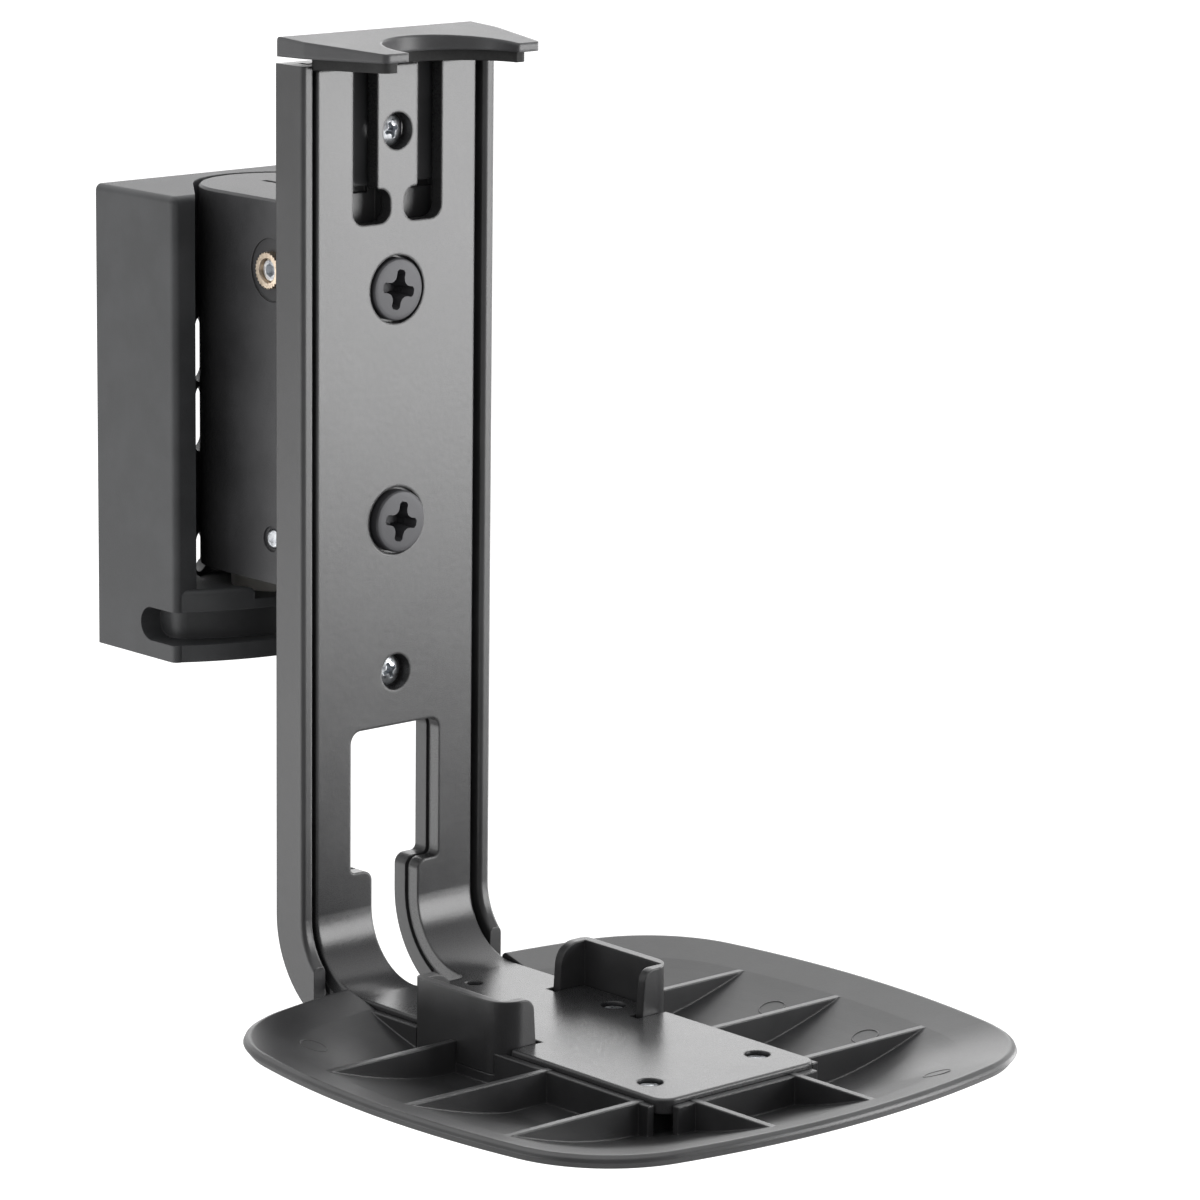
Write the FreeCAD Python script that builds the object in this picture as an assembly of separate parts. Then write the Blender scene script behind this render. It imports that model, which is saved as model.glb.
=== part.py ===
import FreeCAD, Part
import math
import os

# Wall bracket for a small speaker, in millimetres. X is across, +Z is up and the wall is the plane Y = 0.
# The bracket stands out from the wall along -Y, and the origin is midway between its two wall screws.

# Wall housing
HOUSING_WIDTH = 61.0
HOUSING_HEIGHT = 96.5
HOUSING_DEPTH = 26.0
HOUSING_WALL = 3.0
HOUSING_CORNER = 1.5
HOUSING_EDGE = 1.4
FLOOR_HEIGHT = 12.5
LIP_HEIGHT = 2.5
SHELF_BULGE = 8.0
SHELF_SETBACK = 1.0
SHELF_CORNER = 4.0
SHELF_EDGE = 1.2
GROOVE_RISE = 3.5
GROOVE_HEIGHT = 7.0
GROOVE_DEPTH = 5.0
GROOVE_REACH = 11.6
RECESS_WALL = 2.5
REBATE_RIM = 2.5

# Wall plate and its openings
WALL_PLATE_THICKNESS = 2.5
WALL_PLATE_GAP = 0.2
WALL_PLATE_CORNER = 3.0
WALL_SLOT_WIDTH = 5.5
WALL_SLOT_LENGTH = 9.0
WALL_SLOT_LOWER_RISE = 30.0
WALL_SLOT_UPPER_DROP = 12.5
VENT_OFFSET = 8.9
VENT_WIDTH = 6.4
VENT_LOWER_RISE = 13.4
VENT_LOWER_LENGTH = 8.5
VENT_UPPER_RISE = 39.2
VENT_UPPER_LENGTH = 13.7
VENT_BAR = 1.0
VENT_MARGIN = 1.2
FIXING_SCREW_RADIUS = 1.45
FIXING_SCREW_LENGTH = 11.0
FIXING_HEAD_RADIUS = 2.9
FIXING_SIDE_INSET = 6.5
FIXING_END_INSET = 7.0
FIXING_BOSS = 7.0

# Swivel: a post in the housing, and the block that turns on it
PIVOT_FROM_WALL = 22.0
POST_RADIUS = 4.0
NUT_FLATS = 13.0
NUT_HEIGHT = 4.0
NUT_POCKET_RADIUS = 8.5
NUT_POCKET_DEPTH = 5.0
BUSH_RADIUS = 10.0
BUSH_HEIGHT = 4.75
BLOCK_RADIUS = 16.5
BLOCK_REACH = 24.0
BLOCK_GAP = 1.2
BLOCK_TOP_SKIN = 4.0
BLOCK_BOTTOM_SKIN = 2.5
BLOCK_EDGE = 0.5
BORE_SKIN = 3.0
BORE_WALL = 2.5
CHEEK = 4.0
CLAMP_SLIT = 1.5
CLAMP_SLIT_BEHIND = 5.0
SWIVEL_LIMIT = 35.0
FLARE_MARGIN = 1.5

# Tilt: pins through the cheeks of the block, and lock screws in brass inserts above them
TILT_FROM_PIVOT = 18.0
TILT_RISE = 9.25
TILT_PIN_RADIUS = 2.0
TILT_PIN_INSET = 0.6
TILT_PIN_SINK = 0.6
LOCK_DROP = 14.45
INSERT_RADIUS = 3.0
INSERT_RIM_RADIUS = 3.8
INSERT_RIM = 1.6
INSERT_TEETH = 28
INSERT_TOOTH = 0.35
LOCK_RECESS_RADIUS = 6.5
LOCK_RECESS_DEPTH = 0.5
LOCK_SCREW_RADIUS = 2.5
LOCK_SOCKET_RADIUS = 1.45
LOCK_SOCKET_DEPTH = 1.6
LOCK_TIP_GAP = 0.1
CARRIER_SHEET = 2.5
CARRIER_GAP = 0.3
CARRIER_BEND = 3.0
CARRIER_CORNER = 5.0
CARRIER_BEHIND_AXIS = 6.5
CARRIER_BELOW_AXIS = 5.2
CARRIER_TOP_GAP = 2.95

# Arm: an L of sheet steel in a moulded back shell
PIVOT_TO_FACE = 38.0
TONGUE_DROP = 89.0
PLATE_WIDTH = 41.6
PLATE_THICKNESS = 3.0
PLATE_HEIGHT = 187.0
PLATE_LENGTH = 104.7
PLATE_BEND = 14.0
PLATE_CORNER = 3.5
PLATE_EDGE = 0.5
SHELL_WIDTH = 50.4
SHELL_DEPTH = 7.5
SHELL_RIM = 3.0
SHELL_RIM_STAND = 0.9
SHELL_RIM_EDGE = 1.0
SHELL_HEIGHT = 188.2
SHELL_GROOVE_DEPTH = 1.5
SHELL_BEND_ANGLE = 75.0
SHELL_END_AHEAD = 4.6
SHELL_STEP_DEPTH = 1.1
SHELL_STEP_MARGIN = 0.7
WINDOW_WIDTH = 23.6
WINDOW_TOP = 51.3
WINDOW_BOTTOM = 21.5
WINDOW_CORNER = 2.5
STEP_CORNER = 2.2
STEP_HOLLOW = 1.3
CABLE_SLOT_WIDTH = 12.4
CABLE_SLOT_RUN = 16.0
FORK_OFFSET = 8.4
FORK_WIDTH = 6.4
FORK_BOTTOM = 155.2
FOOT_HEIGHT = 7.0
FOOT_INNER = 1.75
FOOT_CORNER = 2.8
FOOT_RECESS = 2.2
FOOT_MARGIN = 1.0
ARM_BOLT_RADIUS = 3.0
ARM_BOLT_RISE = 5.0
ARM_BOLT_DROP = 10.5
ARM_BOLT_HEAD_RADIUS = 6.4
ARM_BOLT_HEAD_HEIGHT = 2.4
ARM_BOLT_HEAD_CROWN = 0.2
ARM_BOLT_SINKS = (0.9, 2.0)
ARM_BOLT_SINK_RADIUS = 7.0
ARM_BOLT_END = 1.0
CROSS_WIDTH = 1.7
CROSS_SPAN = 7.6
CROSS_DEPTH = 1.8
ARM_NUT_FLATS = 10.0
ARM_NUT_HEIGHT = 5.0
SHELL_SCREW_HEIGHTS = (62.4, 173.6)
SHELL_SCREW_RADIUS = 1.5
SHELL_SCREW_HEAD_RADIUS = 3.4
SHELL_SCREW_HEAD_HEIGHT = 2.6
SHELL_SCREW_LENGTH = 4.0
SHELL_SCREW_HOLE_RADIUS = 3.75

# Cap over the arm, with two legs that slide in the shell behind the fork of the plate
CAP_WIDTH = 49.8
CAP_TIP_WIDTH = 40.0
CAP_SIDE_LENGTH = 8.6
CAP_LENGTH = 27.8
CAP_BACK_THICKNESS = 4.0
CAP_TIP_THICKNESS = 1.8
CAP_GAP = 1.3
CAP_FALL = 1.5
CAP_CORNER = 1.5
CAP_EDGE = 0.8
CAP_NOTCH_RADIUS = 14.5
CAP_NOTCH_FROM_TIP = 2.7
LEG_LENGTH = 27.0
LEG_SET_BACK = 1.4
LEG_GAP = 0.2
LEG_WIDTH = 9.4
LEG_THICKNESS = 1.6
PAD_INSET = 2.0
PAD_THICKNESS = 2.2
PAD_BEHIND_FACE = 1.0

# Tray under the speaker
TRAY_HALF_WIDTH = 66.9
TRAY_HALF_LENGTH = 64.0
TRAY_CENTRE = 72.5
TRAY_SIDE_RADIUS = 200.0
TRAY_CORNER_RADIUS = 27.2
TRAY_UNDERSIDE = ((-9.5, 0.46), (-5.0, 0.79), (-1.4, 0.985), (0.0, 1.0), (0.7, 0.996), (1.2, 0.985))
TRAY_FLOOR = (-7.5, 0.48)
TRAY_RIB_END = (-1.0, 0.86)
TRAY_INNER_RIM = (1.2, 0.98)
BOWL_STEPS = 8
BOWL_POWER = 1.35
RIB_THICKNESS = 1.5
RIB_TOP = -1.0
RIB_PITCH = 26.5
FRONT_RIB_OFFSET = 13.2
FRAME_THICKNESS = 1.5
FRAME_TOP = -1.2
FRAME_CORNER_GAP = 2.6
PLATE_SIDE_GAP = 0.3
CLIP_WALL = 2.0
CLIP_START = 33.5
CLIP_LENGTH = 27.0
CLIP_HEIGHT = 9.4
CLIP_INNER = 14.3
CLIP_LEAN = 0.7
CLIP_FRONT_CORNER = 5.5
CLIP_BACK_CORNER = 1.8
CLIP_FRONT_TIP = 2.5
CLIP_BACK_TIP = 4.5
CLIP_NOTCH_REACH = 1.6
CLIP_FOOT_REACH = 11.3
CLIP_FOOT_THICKNESS = 2.5
SCREW_BELOW_FACE = 0.8
TRAY_SCREW_RADIUS = 2.4
TRAY_SCREW_HEAD_RADIUS = 4.2
TRAY_SCREW_HEAD_HEIGHT = 2.0
TRAY_SCREW_SINK = 2.5
TRAY_BOSS_RADIUS = 5.0
FRONT_SCREW_X = 14.3
FRONT_SCREW_AHEAD = 93.9
CLIP_SCREW_X = 15.5
CLIP_SCREW_AHEAD = 50.5
BACK_SCREW_X = 4.2
BACK_SCREW_AHEAD = 20.5
BACK_SCREW_RADIUS = 1.5
BACK_SCREW_HEAD_RADIUS = 2.8
BACK_BOSS_RADIUS = 3.4
BACK_BOSS_HEIGHT = 3.2

# Clearances
FIT = 0.05
SEAT = 0.05
HOLE_GAP = 0.2

# Places that follow from the sizes above
V = FreeCAD.Vector
WALL_SLOT_SPACING = HOUSING_HEIGHT - WALL_SLOT_LOWER_RISE - WALL_SLOT_UPPER_DROP
BASE_Z = -WALL_SLOT_LOWER_RISE - WALL_SLOT_SPACING / 2
TOP_Z = BASE_Z + HOUSING_HEIGHT
FLOOR_Z = BASE_Z + FLOOR_HEIGHT
LIP_Z = FLOOR_Z + LIP_HEIGHT
PIVOT_Y = -PIVOT_FROM_WALL
RECESS_RADIUS = BLOCK_RADIUS + BLOCK_GAP
BLOCK_BOTTOM_Z = FLOOR_Z + BUSH_HEIGHT + SEAT
CAVITY_HALF = BLOCK_RADIUS - CHEEK
CAVITY_BACK_Y = PIVOT_Y - POST_RADIUS - BORE_WALL
BLOCK_FRONT_Y = PIVOT_Y - BLOCK_REACH
TILT_Y = PIVOT_Y - TILT_FROM_PIVOT
TILT_Z = BLOCK_BOTTOM_Z + TILT_RISE
LOCK_Z = TOP_Z - LOCK_DROP
CARRIER_TOP_Z = TOP_Z - BLOCK_TOP_SKIN - CARRIER_TOP_GAP
CARRIER_ABOVE_AXIS = CARRIER_TOP_Z - TILT_Z
CARRIER_HALF = CAVITY_HALF - CARRIER_GAP
FACE_Y = PIVOT_Y - PIVOT_TO_FACE
TONGUE_Z = TILT_Z - TONGUE_DROP
SHELL_BACK_Y = FACE_Y + SHELL_DEPTH
SHELL_SEAT_Y = FACE_Y + PLATE_THICKNESS
CARRIER_BACK_Y = SHELL_BACK_Y + CARRIER_SHEET
BEND_Y = FACE_Y - PLATE_BEND
BEND_Z = TONGUE_Z + PLATE_BEND
TRAY_Y = FACE_Y - TRAY_CENTRE
PLATE_END_Y = FACE_Y - PLATE_LENGTH
CAP_BOTTOM_Z = TONGUE_Z + SHELL_HEIGHT + CAP_GAP
CAP_BACK_Y = SHELL_BACK_Y
CAP_TIP_Y = CAP_BACK_Y - CAP_LENGTH
ARM_BOLT_SPACING = CARRIER_ABOVE_AXIS - ARM_BOLT_RISE - ARM_BOLT_DROP
ARM_BOLT_HEIGHTS = (TILT_Z + ARM_BOLT_RISE, TILT_Z + ARM_BOLT_RISE + ARM_BOLT_SPACING)
PLATE_HALF = PLATE_WIDTH / 2
SHELL_HALF = SHELL_WIDTH / 2
PLATE_UNDER_Z = TONGUE_Z - PLATE_THICKNESS
TRAY_LOW_Z = TONGUE_Z + TRAY_UNDERSIDE[0][0]
CLIP_FOOT_Z = PLATE_UNDER_Z - CLIP_FOOT_THICKNESS
CLIP_TOP_Z = TONGUE_Z + CLIP_HEIGHT
CLIP_NEAR_Y = FACE_Y - CLIP_START
CLIP_FAR_Y = CLIP_NEAR_Y - CLIP_LENGTH
POCKET_HALF = PLATE_HALF + PLATE_SIDE_GAP
POCKET_FRONT_Y = PLATE_END_Y - PLATE_SIDE_GAP


def at_z(z):
    return lambda u, v: V(u, v, z)


def at_y(y):
    return lambda u, v: V(u, y, v)


def at_x(x):
    return lambda u, v: V(x, u, v)


def box(x0, x1, y0, y1, z0, z1):
    corner = V(min(x0, x1), min(y0, y1), min(z0, z1))
    return Part.makeBox(abs(x1 - x0), abs(y1 - y0), abs(z1 - z0), corner)


def rod(start, direction, radius, length):
    return Part.makeCylinder(radius, length, start, direction)


def corner_arc(before, corner, after, radius):
    """Start, middle and end of the arc that rounds one corner of an outline."""
    back = (before - corner).normalize()
    ahead = (after - corner).normalize()
    half = back.getAngle(ahead) / 2
    reach = radius / math.tan(half)
    middle = (back + ahead).normalize() * (radius / math.sin(half) - radius)
    return corner + back * reach, corner + middle, corner + ahead * reach


def outline(points, place):
    """Closed wire through points (u, v, corner radius) on the plane that place sets."""
    spots = [place(u, v) for u, v, radius in points]
    joints = []
    for i, (u, v, radius) in enumerate(points):
        before, spot, after = spots[i - 1], spots[i], spots[(i + 1) % len(spots)]
        joints.append(corner_arc(before, spot, after, radius) if radius > 0 else (spot, None, spot))
    edges = []
    for i, (start, middle, end) in enumerate(joints):
        if middle is not None:
            edges.append(Part.Arc(start, middle, end).toShape())
        following = joints[(i + 1) % len(joints)][0]
        if end.distanceToPoint(following) > 1e-6:
            edges.append(Part.makeLine(end, following))
    return Part.Wire(edges)


def prism(points, place, direction):
    return Part.Face(outline(points, place)).extrude(direction)


def slot_y(x, y0, y1, z_middle, width, length):
    """Upright slot with round ends, cut along Y."""
    half = width / 2
    straight = length / 2 - half
    body = box(x - half, x + half, y0, y1, z_middle - straight, z_middle + straight)
    for z in (z_middle - straight, z_middle + straight):
        body = body.fuse(rod(V(x, y0, z), V(0, 1, 0), half, y1 - y0))
    return body


def hexagon(flats, place, direction):
    radius = flats / math.sqrt(3)
    angles = [math.radians(60 * i + 30) for i in range(6)]
    points = [place(radius * math.cos(a), radius * math.sin(a)) for a in angles]
    return Part.Face(Part.makePolygon(points + [points[0]])).extrude(direction)


def edges_at(shape, test):
    return [edge for edge in shape.Edges if test(edge)]


def on_level(edge, z):
    return all(abs(vertex.Z - z) < 1e-4 for vertex in edge.Vertexes)


def mirror_x(shape):
    return shape.mirror(V(0, 0, 0), V(1, 0, 0))


def save(name, shape):
    if not shape.isValid():
        raise ValueError(name + " is not a valid shape")
    shape.exportStep("parts/" + name + ".step")


def bent_strip(near, far, top_z, x0, x1, angle, run_y=None):
    """Strip of the arm's L between two depths behind its face, as far round the bend as angle says."""
    turn = math.radians(angle)
    inner, outer = PLATE_BEND + near, PLATE_BEND + far

    def on_bend(radius, a):
        return V(x0, BEND_Y + radius * math.cos(a), BEND_Z - radius * math.sin(a))

    front_top, back_top = V(x0, FACE_Y + near, top_z), V(x0, FACE_Y + far, top_z)
    edges = [Part.makeLine(back_top, front_top)]
    edges.append(Part.makeLine(front_top, on_bend(inner, 0)))
    edges.append(Part.Arc(on_bend(inner, 0), on_bend(inner, turn / 2), on_bend(inner, turn)).toShape())
    if run_y is None:
        edges.append(Part.makeLine(on_bend(inner, turn), on_bend(outer, turn)))
    else:
        end_top, end_bottom = V(x0, run_y, TONGUE_Z - near), V(x0, run_y, TONGUE_Z - far)
        edges.append(Part.makeLine(on_bend(inner, turn), end_top))
        edges.append(Part.makeLine(end_top, end_bottom))
        edges.append(Part.makeLine(end_bottom, on_bend(outer, turn)))
    edges.append(Part.Arc(on_bend(outer, turn), on_bend(outer, turn / 2), on_bend(outer, 0)).toShape())
    edges.append(Part.makeLine(on_bend(outer, 0), back_top))
    return Part.Face(Part.Wire(edges)).extrude(V(x1 - x0, 0, 0))


def recess(radius, z0, z1):
    """Round pocket for the block, with flared sides that let it swivel."""
    angle = math.radians(SWIVEL_LIMIT + FLARE_MARGIN)
    centre = V(0, PIVOT_Y, 0)
    touch = centre + V(math.cos(angle), math.sin(angle), 0) * radius
    far = touch + V(math.sin(angle), -math.cos(angle), 0) * 2 * HOUSING_DEPTH
    points = [(-touch.x, touch.y, 0), (touch.x, touch.y, 0), (far.x, far.y, 0), (-far.x, far.y, 0)]
    flare = prism(points, at_z(z0), V(0, 0, z1 - z0))
    return rod(V(0, PIVOT_Y, z0), V(0, 0, 1), radius, z1 - z0).fuse(flare)


def shelf(inset, z0, z1):
    """Base of the housing, with its bulged front, drawn in by the inset."""
    half = HOUSING_WIDTH / 2 - inset
    side_y = -HOUSING_DEPTH + SHELF_SETBACK + inset
    tip_y = -HOUSING_DEPTH - SHELF_BULGE + inset
    left, right, front = V(-half, side_y, z0), V(half, side_y, z0), V(0, tip_y, z0)
    edges = [Part.makeLine(V(-half, 0, z0), V(half, 0, z0)), Part.makeLine(V(half, 0, z0), right)]
    edges.append(Part.Arc(right, front, left).toShape())
    edges.append(Part.makeLine(left, V(-half, 0, z0)))
    body = Part.Face(Part.Wire(edges)).extrude(V(0, 0, z1 - z0))
    upright = edges_at(body, lambda e: abs(e.CenterOfMass.y - side_y) < 1e-4 and e.Length < z1 - z0 + 1e-4)
    return body.makeFillet(SHELF_CORNER, upright)


def housing_shell():
    half = HOUSING_WIDTH / 2
    corners = [(-half, 0, 0), (half, 0, 0), (half, -HOUSING_DEPTH, HOUSING_CORNER)]
    corners.append((-half, -HOUSING_DEPTH, HOUSING_CORNER))
    upper = prism(corners, at_z(BASE_Z), V(0, 0, HOUSING_HEIGHT))
    rim = edges_at(upper, lambda e: on_level(e, TOP_Z) and e.CenterOfMass.y < -1e-4)
    upper = upper.makeFillet(HOUSING_EDGE, rim)
    lower = shelf(0, BASE_Z, LIP_Z)
    lip = edges_at(lower, lambda e: on_level(e, LIP_Z) and e.CenterOfMass.y < -HOUSING_DEPTH - SHELF_SETBACK)
    return upper.fuse(lower.makeFillet(SHELF_EDGE, lip))


def groove():
    """Finger groove round the front of the base, with round ends on the sides."""
    radius = GROOVE_HEIGHT / 2
    z_middle = BASE_Z + GROOVE_RISE + radius
    y_end = -HOUSING_DEPTH + GROOVE_REACH - radius
    half = HOUSING_WIDTH / 2 + 1
    front = -HOUSING_DEPTH - SHELF_BULGE - 1
    body = box(-half, half, front, y_end, z_middle - radius, z_middle + radius)
    body = body.fuse(rod(V(-half, y_end, z_middle), V(1, 0, 0), radius, 2 * half))
    return body.cut(shelf(GROOVE_DEPTH, BASE_Z, LIP_Z))


def fixing_places():
    side = HOUSING_WIDTH / 2 - FIXING_SIDE_INSET
    return [(x, z) for z in (BASE_Z + FIXING_END_INSET, TOP_Z - FIXING_END_INSET) for x in (-side, side)]


def vents(y0, y1):
    """Upright openings beside the middle of the recess: one low and two above it."""
    upper = BASE_Z + VENT_UPPER_RISE + VENT_UPPER_LENGTH / 2
    lower = BASE_Z + VENT_LOWER_RISE + VENT_LOWER_LENGTH / 2
    body = None
    for x in (-VENT_OFFSET, VENT_OFFSET):
        cuts = [slot_y(x, y0, y1, lower, VENT_WIDTH, VENT_LOWER_LENGTH)]
        for step in (0, VENT_UPPER_LENGTH + VENT_BAR):
            cuts.append(slot_y(x, y0, y1, upper + step, VENT_WIDTH, VENT_UPPER_LENGTH))
        for cut in cuts:
            body = cut if body is None else body.fuse(cut)
    return body


def wall_slots(y0, y1):
    lower = BASE_Z + WALL_SLOT_LOWER_RISE
    first = slot_y(0, y0, y1, lower, WALL_SLOT_WIDTH, WALL_SLOT_LENGTH)
    return first.fuse(slot_y(0, y0, y1, lower + WALL_SLOT_SPACING, WALL_SLOT_WIDTH, WALL_SLOT_LENGTH))


def wall_housing():
    body = housing_shell()
    half = HOUSING_WIDTH / 2
    body = body.cut(recess(RECESS_RADIUS, LIP_Z, TOP_Z + 1))
    body = body.cut(rod(V(0, PIVOT_Y, FLOOR_Z), V(0, 0, 1), RECESS_RADIUS, LIP_HEIGHT + 1))
    inner = half - HOUSING_WALL
    hollow = box(-inner, inner, -HOUSING_DEPTH + HOUSING_WALL, 0, LIP_Z, TOP_Z - HOUSING_WALL)
    hollow = hollow.cut(recess(RECESS_RADIUS + RECESS_WALL, LIP_Z - 1, TOP_Z))
    body = body.cut(hollow)
    for x, z in fixing_places()[2:]:
        near, far = x - math.copysign(FIXING_BOSS / 2, x), math.copysign(inner, x)
        low, high = z - FIXING_BOSS / 2, TOP_Z - HOUSING_WALL
        boss = box(near, far, -FIXING_SCREW_LENGTH - FIXING_BOSS / 2, 0, low, high)
        body = body.fuse(boss.cut(recess(RECESS_RADIUS, LIP_Z, TOP_Z + 1)))
    rim = half - REBATE_RIM
    body = body.cut(box(-rim, rim, -WALL_PLATE_THICKNESS, 0, BASE_Z + REBATE_RIM, TOP_Z - REBATE_RIM))
    body = body.cut(vents(PIVOT_Y + RECESS_RADIUS / 2, 0)).cut(wall_slots(PIVOT_Y, 0)).cut(groove())
    for x, z in fixing_places():
        bottom = V(x, -FIXING_SCREW_LENGTH - HOLE_GAP, z)
        body = body.cut(rod(bottom, V(0, 1, 0), FIXING_SCREW_RADIUS + FIT, FIXING_SCREW_LENGTH))
    body = body.cut(rod(V(0, PIVOT_Y, BASE_Z), V(0, 0, 1), POST_RADIUS + FIT, FLOOR_HEIGHT + 1))
    return body.cut(rod(V(0, PIVOT_Y, BASE_Z), V(0, 0, 1), NUT_POCKET_RADIUS, NUT_POCKET_DEPTH))


def wall_plate():
    half = HOUSING_WIDTH / 2 - REBATE_RIM - WALL_PLATE_GAP
    low, high = BASE_Z + REBATE_RIM + WALL_PLATE_GAP, TOP_Z - REBATE_RIM - WALL_PLATE_GAP
    corner = WALL_PLATE_CORNER
    points = [(-half, low, corner), (half, low, corner), (half, high, corner), (-half, high, corner)]
    body = prism(points, at_y(-WALL_PLATE_THICKNESS), V(0, WALL_PLATE_THICKNESS, 0))
    window = VENT_OFFSET + VENT_WIDTH / 2 + VENT_MARGIN
    upper = BASE_Z + VENT_UPPER_RISE - VENT_MARGIN
    spans = [(BASE_Z + VENT_LOWER_RISE - VENT_MARGIN, VENT_LOWER_LENGTH + 2 * VENT_MARGIN)]
    spans.append((upper, 2 * VENT_UPPER_LENGTH + VENT_BAR + 2 * VENT_MARGIN))
    for z, length in spans:
        body = body.cut(box(-window, window, -WALL_PLATE_THICKNESS, 0, z, z + length))
    body = body.cut(wall_slots(-WALL_PLATE_THICKNESS, 0))
    for x, z in fixing_places():
        body = body.cut(countersink(x, z))
    return body


def countersink(x, z):
    sink = FIXING_HEAD_RADIUS + FIT
    shank = FIXING_SCREW_RADIUS + FIT
    cone = Part.makeCone(shank, sink, sink - shank, V(x, -(sink - shank), z), V(0, 1, 0))
    return cone.fuse(rod(V(x, -WALL_PLATE_THICKNESS, z), V(0, 1, 0), shank, WALL_PLATE_THICKNESS))


def fixing_screw(x, z):
    height = FIXING_HEAD_RADIUS - FIXING_SCREW_RADIUS
    head = Part.makeCone(FIXING_SCREW_RADIUS, FIXING_HEAD_RADIUS, height, V(x, -height, z), V(0, 1, 0))
    shank = rod(V(x, -FIXING_SCREW_LENGTH, z), V(0, 1, 0), FIXING_SCREW_RADIUS, FIXING_SCREW_LENGTH - height)
    drive = cross(V(x, 0, z), V(0, -1, 0), FIXING_HEAD_RADIUS)
    return head.fuse(shank).cut(drive)


def cross(centre, inward, span):
    """Cross recess cut into a screw head whose face lies across Y or Z."""
    width = span * CROSS_WIDTH / CROSS_SPAN
    depth = span * CROSS_DEPTH / CROSS_SPAN
    tool = None
    for long_side, short_side in ((span, width), (width, span)):
        bar = Part.makeBox(long_side, short_side, depth, V(-long_side / 2, -short_side / 2, 0))
        tool = bar if tool is None else tool.fuse(bar)
    tool.Placement = FreeCAD.Placement(centre, FreeCAD.Rotation(V(0, 0, 1), inward))
    return tool


def swivel_post():
    top = TOP_Z - BORE_SKIN - 2 * HOLE_GAP
    bottom = BASE_Z + NUT_POCKET_DEPTH - NUT_HEIGHT - 2 * HOLE_GAP
    post = rod(V(0, PIVOT_Y, bottom), V(0, 0, 1), POST_RADIUS, top - bottom)
    rims = edges_at(post, lambda e: on_level(e, top) or on_level(e, bottom))
    return post.makeChamfer(POST_RADIUS / 8, rims)


def post_nut():
    bottom = BASE_Z + NUT_POCKET_DEPTH - NUT_HEIGHT
    nut = hexagon(NUT_FLATS, lambda u, v: V(u, PIVOT_Y + v, bottom), V(0, 0, NUT_HEIGHT))
    return nut.cut(rod(V(0, PIVOT_Y, bottom), V(0, 0, 1), POST_RADIUS + FIT, NUT_HEIGHT))


def swivel_bush():
    ring = rod(V(0, PIVOT_Y, FLOOR_Z), V(0, 0, 1), BUSH_RADIUS, BUSH_HEIGHT)
    return ring.cut(rod(V(0, PIVOT_Y, FLOOR_Z), V(0, 0, 1), POST_RADIUS + FIT, BUSH_HEIGHT))


def block_body():
    height = TOP_Z - BLOCK_BOTTOM_Z
    radius = BLOCK_RADIUS
    floor = at_z(BLOCK_BOTTOM_Z)
    left, right = floor(-radius, PIVOT_Y), floor(radius, PIVOT_Y)
    front_left, front_right = floor(-radius, BLOCK_FRONT_Y), floor(radius, BLOCK_FRONT_Y)
    round_back = Part.Arc(left, floor(0, PIVOT_Y + radius), right).toShape()
    edges = [round_back, Part.makeLine(right, front_right), Part.makeLine(front_right, front_left)]
    edges.append(Part.makeLine(front_left, left))
    body = Part.Face(Part.Wire(edges)).extrude(V(0, 0, height))
    return body.makeChamfer(BLOCK_EDGE, edges_at(body, lambda e: on_level(e, TOP_Z)))


def swivel_block():
    body = block_body()
    low, high = BLOCK_BOTTOM_Z + BLOCK_BOTTOM_SKIN, TOP_Z - BLOCK_TOP_SKIN
    body = body.cut(box(-CAVITY_HALF, CAVITY_HALF, BLOCK_FRONT_Y - 1, CAVITY_BACK_Y, low, high))
    slit = CLAMP_SLIT / 2
    slit_end = PIVOT_Y + CLAMP_SLIT_BEHIND
    body = body.cut(box(-slit, slit, BLOCK_FRONT_Y - 1, slit_end, BLOCK_BOTTOM_Z - 1, TOP_Z + 1))
    bore = TOP_Z - BORE_SKIN - BLOCK_BOTTOM_Z
    body = body.cut(rod(V(0, PIVOT_Y, BLOCK_BOTTOM_Z), V(0, 0, 1), POST_RADIUS + FIT, bore))
    across = V(1, 0, 0)
    full = 2 * BLOCK_RADIUS + 2
    body = body.cut(rod(V(-full / 2, TILT_Y, TILT_Z), across, TILT_PIN_RADIUS + FIT, full))
    body = body.cut(rod(V(-full / 2, TILT_Y, LOCK_Z), across, INSERT_RADIUS + FIT, full))
    for side in (-1, 1):
        outer = side * BLOCK_RADIUS
        inward = V(-side, 0, 0)
        sink = TILT_PIN_RADIUS + TILT_PIN_SINK
        body = body.cut(rod(V(outer, TILT_Y, LOCK_Z), inward, LOCK_RECESS_RADIUS, LOCK_RECESS_DEPTH))
        body = body.cut(rod(V(outer, TILT_Y, TILT_Z), inward, sink, TILT_PIN_INSET))
    return body


def tilt_pin():
    outer = BLOCK_RADIUS - TILT_PIN_INSET / 2
    inner = CARRIER_HALF - CARRIER_SHEET - HOLE_GAP
    pin = rod(V(inner, TILT_Y, TILT_Z), V(1, 0, 0), TILT_PIN_RADIUS, outer - inner)
    rim = edges_at(pin, lambda e: abs(e.CenterOfMass.x - outer) < 1e-4)
    return pin.makeFillet(TILT_PIN_RADIUS / 4, rim)


def toothed_rim(x):
    """Serrated rim of the brass insert."""
    points = []
    for i in range(2 * INSERT_TEETH):
        radius = INSERT_RIM_RADIUS - (INSERT_TOOTH if i % 2 else 0)
        angle = math.pi * i / INSERT_TEETH
        points.append(V(x, TILT_Y + radius * math.cos(angle), LOCK_Z + radius * math.sin(angle)))
    return Part.Face(Part.makePolygon(points + [points[0]])).extrude(V(INSERT_RIM, 0, 0))


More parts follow.
